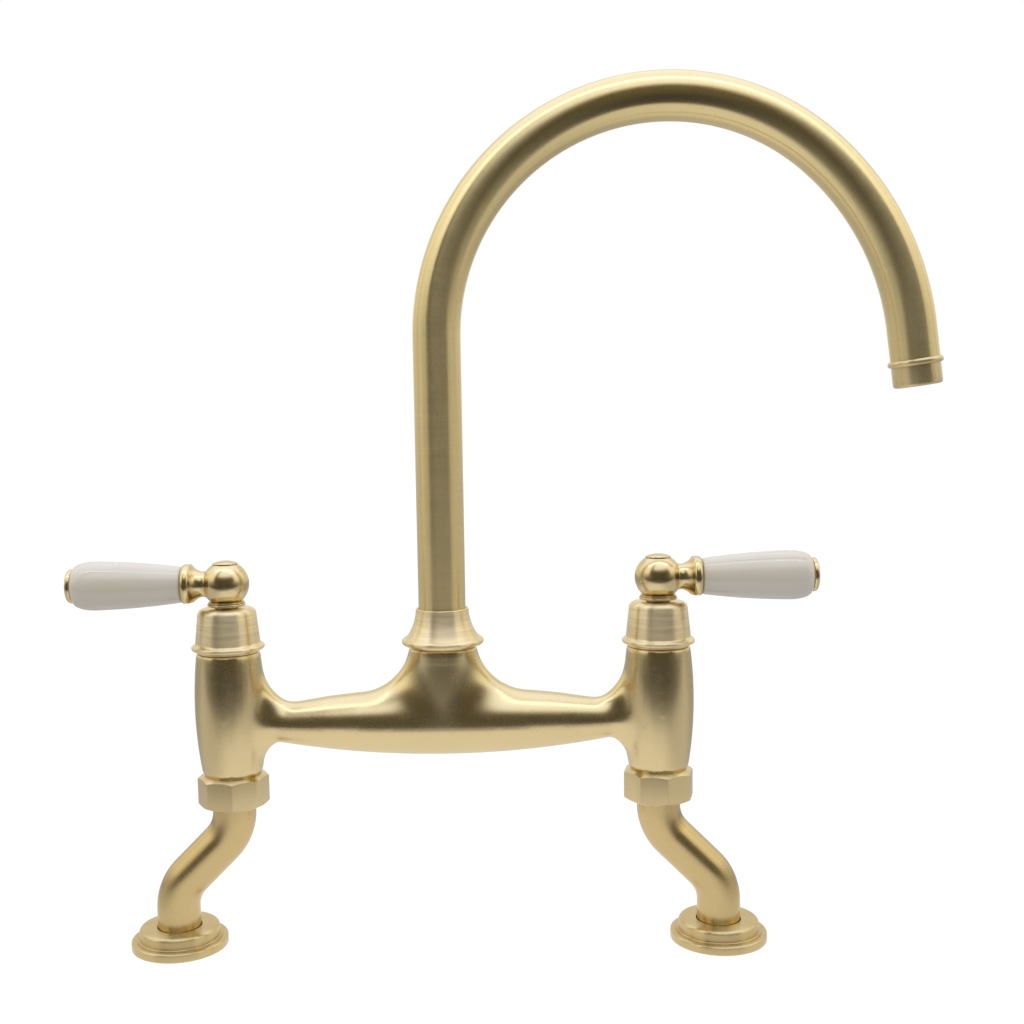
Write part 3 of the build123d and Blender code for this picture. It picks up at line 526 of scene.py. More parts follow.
@dataclass(frozen=True)
class GlazedCeramic(Finish):
    """Ivory body under a clear, slightly uneven glaze."""

    slot: Slot = Slot.GLAZED_CERAMIC
    color: Triple = (0.76, 0.71, 0.62)
    roughness: float = 0.45
    warmth: Triple = (0.985, 0.97, 0.94)
    gloss_swing: float = 0.04
    gloss_drop: float = 0.0
    ripple_strength: float = 0.05
    ripple_depth: float = 0.2
    glaze_index: float = 1.52
    glaze_roughness: float = 0.03

    def dress(self, sheet: NodeSheet, shader: Node) -> None:
        """Glaze: a faint change of tone, long soft waves in the surface and a clear coat.

        Args:
            sheet: Sheet of the material.
            shader: Its Principled shader.
        """
        place = sheet.place()
        cloud = sheet.ramp(sheet.noise(place, GLAZE_CLOUD), CLOUD_SPAN)
        warm = tuple(part * share for part, share in zip(self.color, self.warmth))
        ripple = sheet.noise(place, RIPPLE)
        sheet.fill(shader, {
            "Base Color": sheet.blend(cloud, opaque(warm), opaque(self.color)),
            "Roughness": self.swung(sheet, ripple),
            "IOR": self.glaze_index,
            "Coat Weight": 1.0,
            "Coat Roughness": self.glaze_roughness,
        })
        sheet.emboss(shader, ripple, self.ripple_strength, self.ripple_depth)


@dataclass(frozen=True)
class Moulded(Finish):
    """Rubber, fibre and plastic: one tone with a fine moulded grain."""

    dulling: float = 0.8
    gloss_swing: float = 0.15
    gloss_drop: float = 0.07
    grain: Grain = Grain(1800.0, 3.0, 0.6)
    grain_strength: float = 0.2
    grain_depth: float = 0.1

    def dress(self, sheet: NodeSheet, shader: Node) -> None:
        """Moulded surface: speckled tone and a fine grain in gloss and normal.

        Args:
            sheet: Sheet of the material.
            shader: Its Principled shader.
        """
        grain = sheet.noise(sheet.place(), self.grain)
        tone = sheet.blend(grain, opaque(self.color, self.dulling), opaque(self.color))
        sheet.fill(shader, {"Base Color": tone, "Roughness": self.swung(sheet, grain)})
        sheet.emboss(shader, grain, self.grain_strength, self.grain_depth)


SATIN = SatinBrass("satin_brass_casting")
LEVER_SATIN = SatinBrass("satin_brass_lever", roughness=0.23)
# Darker copy of the satin brass: painted shade on the legs.
SHADED_LEG_SATIN = SatinBrass("satin_brass_leg", color=(0.6, 0.45, 0.2))
# Paler copy of the brushed brass: painted light on the swan neck.
LIT_TUBE_BRASS = BrushedBrass("brushed_brass_tube", color=(0.75, 0.6, 0.285), follows_path=True)
# Darker copy of the brushed brass: painted shade on the foot plates.
SHADED_FOOT_COLOR = (0.62, 0.48, 0.225)
GLAZE = GlazedCeramic("ivory_glaze")
PLAIN_BRASS = Finish("as_turned_brass", Slot.PLAIN_BRASS, (0.62, 0.46, 0.2), 0.38, 1.0)
STEEL = Finish("stainless_steel", Slot.STEEL, (0.55, 0.55, 0.56), 0.3, 1.0)
DISC = Moulded("lapped_ceramic", Slot.DISC_CERAMIC, (0.85, 0.85, 0.83), 0.3, grain_strength=0.05)
RUBBER = Moulded("black_rubber", Slot.SEAL_RUBBER, (0.02, 0.02, 0.02), 0.6)
FIBRE = Moulded("pale_fibre", Slot.WASHER_FIBRE, (0.7, 0.66, 0.58), 0.75, grain=Grain(900.0, 3.0, 0.6))
PLASTIC = Moulded("grey_plastic", Slot.AERATOR_PLASTIC, (0.25, 0.25, 0.26), 0.45)


def at(x: float, z: float) -> Matrix:
    """Place in the middle plane of the tap."""
    return Matrix.Translation((x, 0.0, z))


def upwards(height: float) -> Vector:
    """Way straight up."""
    return Vector((0.0, 0.0, height))


class Outline:
    """Half section of a turned piece, drawn point by point as (radius, height) in millimetres."""

    def __init__(self, radius: float, height: float) -> None:
        """Start the section.

        Args:
            radius: Radius of the first point.
            height: Height of the first point.
        """
        self.mesh = bmesh.new()
        self.first = self.mesh.verts.new((radius, 0.0, height))
        self.last = self.first
        self.corners: list[tuple[BMVert, float]] = []

    def line(self, radius: float, height: float, rounding: float = 0.0) -> "Outline":
        """Go straight to a point.

        Args:
            radius: Radius of the point.
            height: Height of the point.
            rounding: Radius that softens the corner there.

        Returns:
            The outline itself.
        """
        vert = self.mesh.verts.new((radius, 0.0, height))
        self.mesh.edges.new((self.last, vert))
        self.last = vert
        return self.soften(rounding)

    def soften(self, rounding: float) -> "Outline":
        """Soften the corner at the last point.

        Args:
            rounding: Radius that softens it, or 0 to leave it sharp.

        Returns:
            The outline itself.
        """
        if rounding:
            self.corners.append((self.last, rounding))
        return self

    def arc(self, radius: float, height: float, rise: float, steps: int = ARC_STEPS) -> "Outline":
        """Go to a point along an arc.

        Args:
            radius: Radius of the point.
            height: Height of the point.
            rise: Height of the arc over its chord, positive to the right of the way.
            steps: Number of straight pieces.

        Returns:
            The outline itself.
        """
        start, end = self.last.co.copy(), Vector((radius, 0.0, height))
        chord = end - start
        half = chord.length / 2
        size = (half * half + rise * rise) / (2 * abs(rise))
        side = Vector((chord.z, 0.0, -chord.x)).normalized() * math.copysign(1.0, rise)
        centre = (start + end) / 2 - side * (size - abs(rise))
        angle = 2 * math.asin(min(1.0, half / size))
        if abs(rise) > half:
            angle = math.tau - angle
        axis = (0.0, math.copysign(1.0, -rise), 0.0)
        turn = bmesh.ops.spin(self.mesh, geom=[self.last], cent=centre, axis=axis, dvec=(0.0, 0.0, 0.0),
                              angle=angle, steps=steps, use_duplicate=False)
        self.last = next(part for part in turn["geom_last"] if isinstance(part, BMVert))
        return self

    def oval(self, radius: float, height: float, steps: int) -> "Outline":
        """Go to a point along a quarter of an ellipse that starts straight up.

        Args:
            radius: Radius of the point.
            height: Height of the point.
            steps: Number of straight pieces.

        Returns:
            The outline itself.
        """
        start = self.last.co.copy()
        before = set(self.mesh.verts)
        width, rise = start.x - radius, height - start.z
        self.arc(radius, start.z + width, width * (1 - math.sqrt(0.5)), steps)
        made = [vert for vert in self.mesh.verts if vert not in before]
        bmesh.ops.scale(self.mesh, vec=(1.0, 1.0, rise / width), verts=made,
                        space=at(0.0, -start.z))
        return self

    def bead(self, radius: float, height: float, steps: int = ARC_STEPS) -> "Outline":
        """Go round a bead, from the last point to another height.

        Args:
            radius: Largest radius of the bead.
            height: Height at which it ends.
            steps: Number of straight pieces.

        Returns:
            The outline itself.
        """
        half = (height - self.last.co.z) / 2
        return self.arc(radius - abs(half), height, half, steps)

    def close(self) -> "Outline":
        """Join the last point to the first."""
        self.mesh.edges.new((self.last, self.first))
        return self

    def turn(self) -> BMesh:
        """Round the corners and turn the section about Z.

        Returns:
            The turned mesh, closed and facing outwards.
        """
        mesh = self.mesh
        for vert, rounding in self.corners:
            bmesh.ops.bevel(mesh, geom=[vert], offset=rounding, offset_type="OFFSET", segments=ROUND_STEPS,
                            profile=0.5, affect="VERTICES", material=-1)
        bmesh.ops.spin(mesh, geom=mesh.verts[:] + mesh.edges[:], cent=(0.0, 0.0, 0.0), axis=(0.0, 0.0, 1.0),
                       dvec=(0.0, 0.0, 0.0), angle=math.tau, steps=TURN_STEPS, use_merge=True)
        close_shell(mesh)
        return mesh


def close_shell(mesh: BMesh) -> None:
    """Merge doubles, fill what is open and face everything outwards.

    Args:
        mesh: Mesh to close.
    """
    bmesh.ops.remove_doubles(mesh, verts=mesh.verts[:], dist=MERGE_DISTANCE)
    open_edges = [edge for edge in mesh.edges if edge.is_boundary]
    if open_edges:
        bmesh.ops.holes_fill(mesh, edges=open_edges, sides=0)
    bmesh.ops.recalc_face_normals(mesh, faces=mesh.faces[:])


def cut_off(mesh: BMesh, place: Triple, way: Triple) -> None:
    """Cut off what lies beyond the plane through a place, square to the way."""
    parts = mesh.verts[:] + mesh.edges[:] + mesh.faces[:]
    bmesh.ops.bisect_plane(mesh, geom=parts, plane_co=place, plane_no=way, clear_outer=True)


def smooth(mesh: BMesh, verts: list[BMVert], rounds: int) -> None:
    """Smooth some points of a mesh.

    Args:
        mesh: Mesh that holds them.
        verts: Points to smooth.
        rounds: How often.
    """
    for _ in range(rounds):
        bmesh.ops.smooth_vert(mesh, verts=verts, factor=SMOOTH_SHARE, use_axis_x=True, use_axis_y=True,
                              use_axis_z=True)


def circle(mesh: BMesh, radius: float, facets: int, where: Matrix) -> Ring:
    """Edges of a new circle about Z, set in its place."""
    made = bmesh.ops.create_circle(mesh, cap_ends=False, radius=radius, segments=facets, matrix=where)
    return list({edge for vert in made["verts"] for edge in vert.link_edges})


def extend(mesh: BMesh, ring: Ring, way: Vector) -> Ring:
    """Draw a ring of edges out in a straight line.

    Args:
        mesh: Mesh that holds the ring.
        ring: Edges of the ring.
        way: How far to go.

    Returns:
        The new ring.
    """
    drawn = bmesh.ops.extrude_edge_only(mesh, edges=ring)["geom"]
    fresh = {part for part in drawn if isinstance(part, BMVert)}
    bmesh.ops.translate(mesh, vec=way, verts=list(fresh))
    return [part for part in drawn if isinstance(part, BMEdge) and set(part.verts) <= fresh]


def bend(mesh: BMesh, ring: Ring, centre: Vector, angle: float, steps: int) -> Ring:
    """Draw a ring of edges round a bend in the XZ plane.

    Args:
        mesh: Mesh that holds the ring.
        ring: Edges of the ring.
        centre: Centre of the bend.
        angle: Angle of the bend about +Y, in radians.
        steps: Number of rings.

    Returns:
        The last ring.
    """
    verts = list({vert for edge in ring for vert in edge.verts})
    turn = bmesh.ops.spin(mesh, geom=verts + ring, cent=centre, axis=(0.0, math.copysign(1.0, angle), 0.0),
                          dvec=(0.0, 0.0, 0.0), angle=abs(angle), steps=steps, use_duplicate=False)
    return [part for part in turn["geom_last"] if isinstance(part, BMEdge)]


def node_copy(node: str) -> BMesh:
    """Merged copy of a node's mesh.

    Args:
        node: Name of the node.

    Returns:
        The copy, in metres.
    """
    mesh = bmesh.new()
    mesh.from_mesh(frame["nodes"][node].data)
    bmesh.ops.remove_doubles(mesh, verts=mesh.verts[:], dist=MERGE_DISTANCE * MM)
    return mesh


def settle(mesh: BMesh, name: str) -> bpy.types.Mesh:
    """Turn a mesh under work into mesh data.

    Args:
        mesh: Mesh under work, which is used up.
        name: Name of the data.

    Returns:
        The data.
    """
    data = bpy.data.meshes.new(name)
    mesh.to_mesh(data)
    mesh.free()
    return data


def put(name: str, data: bpy.types.ID) -> bpy.types.Object:
    """Put a mesh, a camera or a lamp into the scene.

    Args:
        name: Name of the object.
        data: What it shows.

    Returns:
        The object.
    """
    made = bpy.data.objects.new(name, data)
    bpy.context.scene.collection.objects.link(made)
    return made


@dataclass
class Piece:
    """One finished piece: where it goes, what it stands for and what it is made of."""

    name: str
    body: str
    nodes: tuple[str, ...]
    finish: Finish
    sharp: float = SHARP_ANGLE

    def place(self, mesh: BMesh, where: Matrix | None = None) -> None:
        """Turn a mesh in millimetres into an object of the tap.

        Args:
            mesh: Mesh of the piece, which is used up.
            where: Place of the mesh in the tap, in millimetres.
        """
        matrix = Matrix.Scale(MM, 4) @ (where or Matrix.Identity(4))
        bmesh.ops.transform(mesh, matrix=matrix, verts=mesh.verts[:])
        self.adopt(settle(mesh, self.name))

    def adopt(self, data: bpy.types.Mesh) -> None:
        """Make an object of a mesh that is already in place, and let it ride on its body.

        Args:
            data: Mesh in metres.
        """
        data.name = self.name
        for polygon in data.polygons:
            polygon.use_smooth = True
        data.set_sharp_from_angle(angle=self.sharp)
        data.materials.clear()
        data.materials.append(self.finish.material())
        made = put(self.name, data)
        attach(made, self.body)
        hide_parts(*self.nodes)
        LOG.info("%s: %d faces on %s", self.name, len(data.polygons), self.body)


def fit(node: str, body: str, finish: Finish, mesh: BMesh, where: Matrix | None = None,
        work: str = "turned") -> None:
    """Place a piece that stands for one node and is named after it and after the work on it."""
    Piece(f"{node}_{work}", body, (node,), finish).place(mesh, where)


@dataclass
class Bridge:
    """The bridge casting and the collar that holds the spout on it."""

    grain: float = 0.7
    smoothing: int = 10
    corner_low: Span = (50.0, 95.0)
    corner_high: Span = (84.0, 127.0)
    corner_smoothing: int = 14
    hub_low: Span = (-10.0, 95.0)
    hub_high: Span = (36.0, 127.0)
    hub_smoothing: int = 20
    zone_insets: Triple = (0.0, 2.0, 4.0)
    arm_top: float = 104.4
    web_start: float = 59.3
    web_width: float = 17.0
    web_height: float = 19.5
    web_radius: float = 6.6
    web_facets: int = 48
    web_steps: int = 20
    web_end: float = 78.8
    web_floor: float = 100.9
    valve_bore_limit: float = 12.0
    hub_bore_limit: float = 10.4
    hub_bore_floor: float = 94.0
    hub_top: float = 128.51
    collar_height: float = 16.0
    collar_roof: float = 6.0
    collar_top_radius: float = 11.0
    collar_top_edge: float = 0.35
    collar_hole: float = 10.1
    collar_hole_edge: float = 0.25
    collar_flare_radius: float = 15.4
    collar_flare_bow: float = 1.05
    bead_radius: float = 17.1
    bead_height: float = 2.8
    skirt_radius: float = 13.2
    skirt_height: float = 0.8
    thread_radius: float = 11.35

    def build(self) -> None:
        """Build the casting and the collar."""
        self.casting()
        self.collar()

    def casting(self) -> None:
        """Build the casting with an even skin, so that its long fillets shade without facets."""
        mesh = node_copy("bridge_body")
        for side in Side:
            mesh.from_mesh(self.corner_web(side))
        blank = put("casting", settle(mesh, "casting"))
        remesh = blank.modifiers.new("skin", "REMESH")
        remesh.mode = "VOXEL"
        remesh.voxel_size = self.grain * MM
        even = bpy.data.meshes.new_from_object(blank.evaluated_get(bpy.context.evaluated_depsgraph_get()))
        bpy.data.objects.remove(blank)
        skin = bmesh.new()
        skin.from_mesh(even)
        outside = [vert for vert in skin.verts if not self.in_bore(vert.co / MM)]
        smooth(skin, outside, self.smoothing)
        self.ease(skin, outside, self.corner_low, self.corner_high, self.corner_smoothing)
        self.ease(skin, outside, self.hub_low, self.hub_high, self.hub_smoothing)
        skin.to_mesh(even)
        skin.free()
        Piece("bridge_casting", "bridge", ("bridge_body",), SATIN, math.pi).adopt(even)

    def in_bore(self, place: Vector) -> bool:
        """Tell whether a point of the casting lies in a bore, which keeps its size.

        Args:
            place: The point, in millimetres.

        Returns:
            True in the bores of the valves and of the hub.
        """
        if math.hypot(abs(place.x) - VALVE_REACH, place.y) < self.valve_bore_limit:
            return True
        return place.z > self.hub_bore_floor and math.hypot(place.x, place.y) < self.hub_bore_limit

    def ease(self, skin: BMesh, verts: list[BMVert], low: Span, high: Span, rounds: int) -> None:
        """Blend the fillets of one zone into the arms, on both sides of the spout.

        Args:
            skin: Mesh of the casting, in metres.
            verts: Points that may move.
            low: Least distance from the middle and least height of the zone.
            high: Largest distance from the middle and largest height.
            rounds: Rounds of smoothing at each inset.
        """
        for inset in self.zone_insets:
            low_x, low_z = (value + inset for value in low)
            high_x, high_z = (value - inset for value in high)
            zone = [vert for vert in verts
                    if low_x < abs(vert.co.x) / MM < high_x and low_z < vert.co.z / MM < high_z]
            smooth(skin, zone, rounds)

    def corner_web(self, side: Side) -> bpy.types.Mesh:
        """Bent web that makes the upper corner between arm and barrel rounder than the lower one.

        Args:
            side: Side of the tap that the corner is on.

        Returns:
            The web, in metres.
        """
        mesh = bmesh.new()
        start = at(self.web_start, self.arm_top - self.web_radius)
        ring = circle(mesh, self.web_radius, self.web_facets, start @ Matrix.Rotation(math.pi / 2, 4, "Y"))
        centre = Vector((self.web_start, 0.0, self.arm_top + self.web_width))
        bend(mesh, ring, centre, -math.pi / 2, self.web_steps)
        cut_off(mesh, (self.web_end, 0.0, 0.0), (1.0, 0.0, 0.0))
        close_shell(mesh)
        cut_off(mesh, (0.0, 0.0, self.web_floor), (0.0, 0.0, -1.0))
        close_shell(mesh)
        upper = [vert for vert in mesh.verts if vert.co.z > self.arm_top]
        bmesh.ops.scale(mesh, vec=(1.0, 1.0, self.web_height / self.web_width), verts=upper,
                        space=at(0.0, -self.arm_top))
        bmesh.ops.scale(mesh, vec=(side.value * MM, MM, MM), verts=mesh.verts[:])
        return settle(mesh, "web")

    def collar(self) -> None:
        """Build the flared collar with a bead at its foot."""
        foot = self.hub_top + self.skirt_height
        bead_top = foot + self.bead_height
        top = self.hub_top + self.collar_height
        roof = top - self.collar_roof
        section = Outline(self.collar_hole, roof).line(self.collar_hole, top, self.collar_hole_edge)
        section.line(self.collar_top_radius, top, self.collar_top_edge)
        section.arc(self.collar_flare_radius, bead_top, self.collar_flare_bow, steps=24)
        section.line(self.bead_radius - self.bead_height / 2, bead_top).bead(self.bead_radius, foot)
        section.line(self.skirt_radius, foot).line(self.skirt_radius, self.hub_top)
        section.line(self.thread_radius, self.hub_top).line(self.thread_radius, roof).close()
        # The collar's finish carries a paler tone that is painted light.
        fit("spout_collar", "bridge", LitBellBrass("brushed_brass_collar"), section.turn())


@dataclass
class Spout:
    """Swan-neck tube with its outlet."""

    radius: float = 9.8
    foot: float = 135.81
    spring: float = 255.61
    main_radius: float = 93.6
    main_steps: int = 88
    easy_radius: float = 112.32
    easy_start: float = math.radians(50.0)
    easy_steps: int = 28
    tilt: float = math.radians(7.7)
    straight: float = 15.2
    ring_radius: float = 10.98
    ring_height: float = 2.6
    ring_bite: float = 0.4
    nozzle_length: float = 8.4
    nozzle_bore: float = 7.8
    nozzle_bore_edge: float = 0.3
    nozzle_floor: float = 1.5
    nozzle_waterway: float = 5.7
    nozzle_edge: float = 1.2

    @property
    def main_centre(self) -> Vector:
        """Centre of the bend over the crown."""
        return Vector((self.main_radius, 0.0, self.spring))

    @property
    def easy_centre(self) -> Vector:
        """Centre of the easier bend that leads down to the outlet."""
        return self.main_centre + self.outwards(self.easy_start) * (self.main_radius - self.easy_radius)

    @property
    def water_way(self) -> Vector:
        """Direction in which the water leaves."""
        return Vector((math.sin(self.tilt), 0.0, -math.cos(self.tilt)))

    @property
    def bend_end(self) -> Vector:
        """Place where the last bend runs out into the short straight end."""
        return self.easy_centre + self.outwards(self.tilt) * self.easy_radius

    @staticmethod
    def outwards(angle: float) -> Vector:
        """Direction from the middle of the arch at an angle up from +X."""
        return Vector((math.cos(angle), 0.0, math.sin(angle)))

    def build(self) -> None:
        """Build the tube, the bead round its end and the nozzle."""
        self.tube()
        self.outlet()

    def tube(self) -> None:
        """Build the tube: up the riser, round both bends and down to the outlet."""
        mesh = bmesh.new()
        ring = circle(mesh, self.radius, TUBE_FACETS, at(0.0, self.foot))
        ring = extend(mesh, ring, upwards(self.spring - self.foot))
        ring = bend(mesh, ring, self.main_centre, math.pi - self.easy_start, self.main_steps)
        ring = bend(mesh, ring, self.easy_centre, self.easy_start - self.tilt, self.easy_steps)
        extend(mesh, ring, self.water_way * self.straight)
        self.map_path(mesh)
        close_shell(mesh)
        Piece("swan_neck", "spout", ("spout_tube",), LIT_TUBE_BRASS).place(mesh)

    def path(self, point: Vector) -> tuple[float, Vector, Vector]:
        """Nearest place on the tube's centre line.

        Args:
            point: Point on the tube.

        Returns:
            Length along the line, the place itself and the direction outwards from the arch there.
        """
        if point.x < self.main_radius and point.z <= self.spring:
            return point.z - self.foot, upwards(point.z), self.outwards(math.pi)
        length = self.spring - self.foot
        for centre, radius, start, end in (
                (self.main_centre, self.main_radius, math.pi, self.easy_start),
                (self.easy_centre, self.easy_radius, self.easy_start, self.tilt)):
            away = point - centre
            angle = math.atan2(away.z, away.x)
            if angle > end:
                out = self.outwards(angle)
                return length + radius * (start - angle), centre + out * radius, out
            length += radius * (start - end)
        down = (point - self.bend_end).dot(self.water_way)
        return length + down, self.bend_end + self.water_way * down, self.outwards(self.tilt)

    def map_path(self, mesh: BMesh) -> None:
        """Map the tube by its way round, in turns, and its way along, in metres.

        Args:
            mesh: Mesh of the tube.
        """
        layer = mesh.loops.layers.uv.new(TUBE_MAP)
        for face in mesh.faces:
            turns = []
            for loop in face.loops:
                length, middle, out = self.path(loop.vert.co)
                away = loop.vert.co - middle
                turns.append(math.atan2(away.y, away.dot(out)) / math.tau)
                loop[layer].uv.y = length * MM
            for loop, turn in zip(face.loops, turns):
                loop[layer].uv.x = turn + 1.0 if max(turns) - turn > 0.5 else turn

    def outlet(self) -> None:
        """Build the bead and the nozzle, both turned on the line of the water."""
        end = self.bend_end + self.water_way * self.straight
        where = Matrix.Translation(end) @ Matrix.Rotation(math.pi - self.tilt, 4, "Y")
        inner = self.radius - self.ring_bite
        bead = Outline(inner, -self.ring_height)
        bead.line(self.ring_radius - self.ring_height / 2, -self.ring_height)
        bead.bead(self.ring_radius, 0.0, steps=20).line(inner, 0.0).close()
        finish = BrushedBrass("brushed_brass_outlet", centre=tuple(end * MM))
        Piece("outlet_bead", "spout", ("outlet_ring",), finish).place(bead.turn(), where)
        nozzle = Outline(self.nozzle_waterway, 0.0).line(self.nozzle_waterway, self.nozzle_floor)
        nozzle.line(self.nozzle_bore, self.nozzle_floor)
        nozzle.line(self.nozzle_bore, self.nozzle_length, self.nozzle_bore_edge)
        nozzle.line(self.radius, self.nozzle_length, self.nozzle_edge).line(self.radius, 0.0).close()
        fit("outlet_nozzle", "spout", finish, nozzle.turn(), where)


@dataclass
class Leg:
    """Cranked leg with its union nut and the round plate on the worktop."""

    side: Side
    radius: float = 9.1
    throw: float = 25.6
    bend_radius: float = 20.0
    bend_angle: float = math.radians(45.0)
    bend_steps: int = 14
    lower: float = 16.72
    upper: float = 7.22
    socket_radius: float = 7.475
    socket_depth: float = 12.0
    plate_radius: float = 20.4
    plate_rim: float = 3.5
    rim_edge: float = 0.8
    base_edge: float = 0.25
    step_radius: float = 18.0
    step_height: float = 0.8
    step_edge: float = 0.3
    tier_radius: float = 16.9
    tier_edge: float = 1.5
    plate_height: float = 8.6
    plate_hole: float = 9.4
    hole_edge: float = 0.3
    seal_radius: float = 16.45
    seal_depth: float = 2.0
    nut_edge: float = 0.35
    nut_edge_steps: int = 3
    flat_angle: float = math.radians(1.0)
    edge_angle: float = math.radians(20.0)

    def build(self) -> None:
        """Build the leg, the plate and the nut."""
        self.pipe()
        self.plate()
        self.nut()

    def pipe(self) -> None:
        """Build the bent pipe with the threaded socket in its foot."""
        mesh = bmesh.new()
        ring = circle(mesh, self.socket_radius, TUBE_FACETS, at(self.throw, self.socket_depth))
        ring = extend(mesh, ring, upwards(-self.socket_depth))
        rim = extend(mesh, ring, upwards(0.0))
        verts = list({vert for edge in rim for vert in edge.verts})
        share = self.radius / self.socket_radius
        bmesh.ops.scale(mesh, vec=(share, share, 1.0), verts=verts, space=at(-self.throw, 0.0))
        ring = extend(mesh, rim, upwards(self.lower))
        sine, cosine = math.sin(self.bend_angle), math.cos(self.bend_angle)
        run = (self.throw - 2 * self.bend_radius * (1 - cosine)) / sine
        high = self.lower + 2 * self.bend_radius * sine + run * cosine
        low_centre = Vector((self.throw - self.bend_radius, 0.0, self.lower))
        ring = bend(mesh, ring, low_centre, -self.bend_angle, self.bend_steps)
        ring = extend(mesh, ring, Vector((-sine, 0.0, cosine)) * run)
        high_centre = Vector((self.bend_radius, 0.0, high))
        ring = bend(mesh, ring, high_centre, self.bend_angle, self.bend_steps)
        extend(mesh, ring, upwards(self.upper))
        close_shell(mesh)
        where = at(self.side.valve, 0.0) @ self.side.outwards()
        fit(self.side.node("leg"), "bridge", SHADED_LEG_SATIN, mesh, where, "bent")

    def plate(self) -> None:
        """Build the two-tier plate with a thin ridge between the tiers."""
        ridge = self.plate_rim + self.step_height
        section = Outline(self.plate_hole, self.seal_depth)
        section.line(self.plate_hole, self.plate_height, self.hole_edge)
        section.line(self.tier_radius, self.plate_height, self.tier_edge).line(self.tier_radius, ridge)
        section.line(self.step_radius, ridge, self.step_edge).line(self.step_radius, self.plate_rim)
        section.line(self.plate_radius, self.plate_rim, self.rim_edge)
        section.line(self.plate_radius, 0.0, self.base_edge)
        section.line(self.seal_radius, 0.0).line(self.seal_radius, self.seal_depth).close()
        centre = self.side.valve + self.side.value * self.throw
        finish = BrushedBrass(f"brushed_brass_{self.side.node('foot')}", color=SHADED_FOOT_COLOR,
                              centre=(centre * MM, 0.0, 0.0))
        fit(self.side.node("foot_flange"), "bridge", finish, section.turn(), at(centre, 0.0))

    def nut(self) -> None:
        """Build the eight-sided nut with its edges broken."""
        node = self.side.node("union_nut")
        mesh = node_copy(node)
        bmesh.ops.scale(mesh, vec=(1 / MM,) * 3, verts=mesh.verts[:])
        bmesh.ops.dissolve_limit(mesh, angle_limit=self.flat_angle, verts=mesh.verts[:], edges=mesh.edges[:])
        sharp = [edge for edge in mesh.edges
                 if edge.is_manifold and edge.calc_face_angle() > self.edge_angle]
        bmesh.ops.bevel(mesh, geom=sharp, offset=self.nut_edge, offset_type="OFFSET",
                        segments=self.nut_edge_steps, profile=0.5, affect="EDGES", material=-1,
                        clamp_overlap=True)
        finish = BrushedBrass(f"brushed_brass_{self.side.node('nut')}",
                              centre=(self.side.valve * MM, 0.0, 0.0))
        fit(node, "bridge", finish, mesh, work="edged")


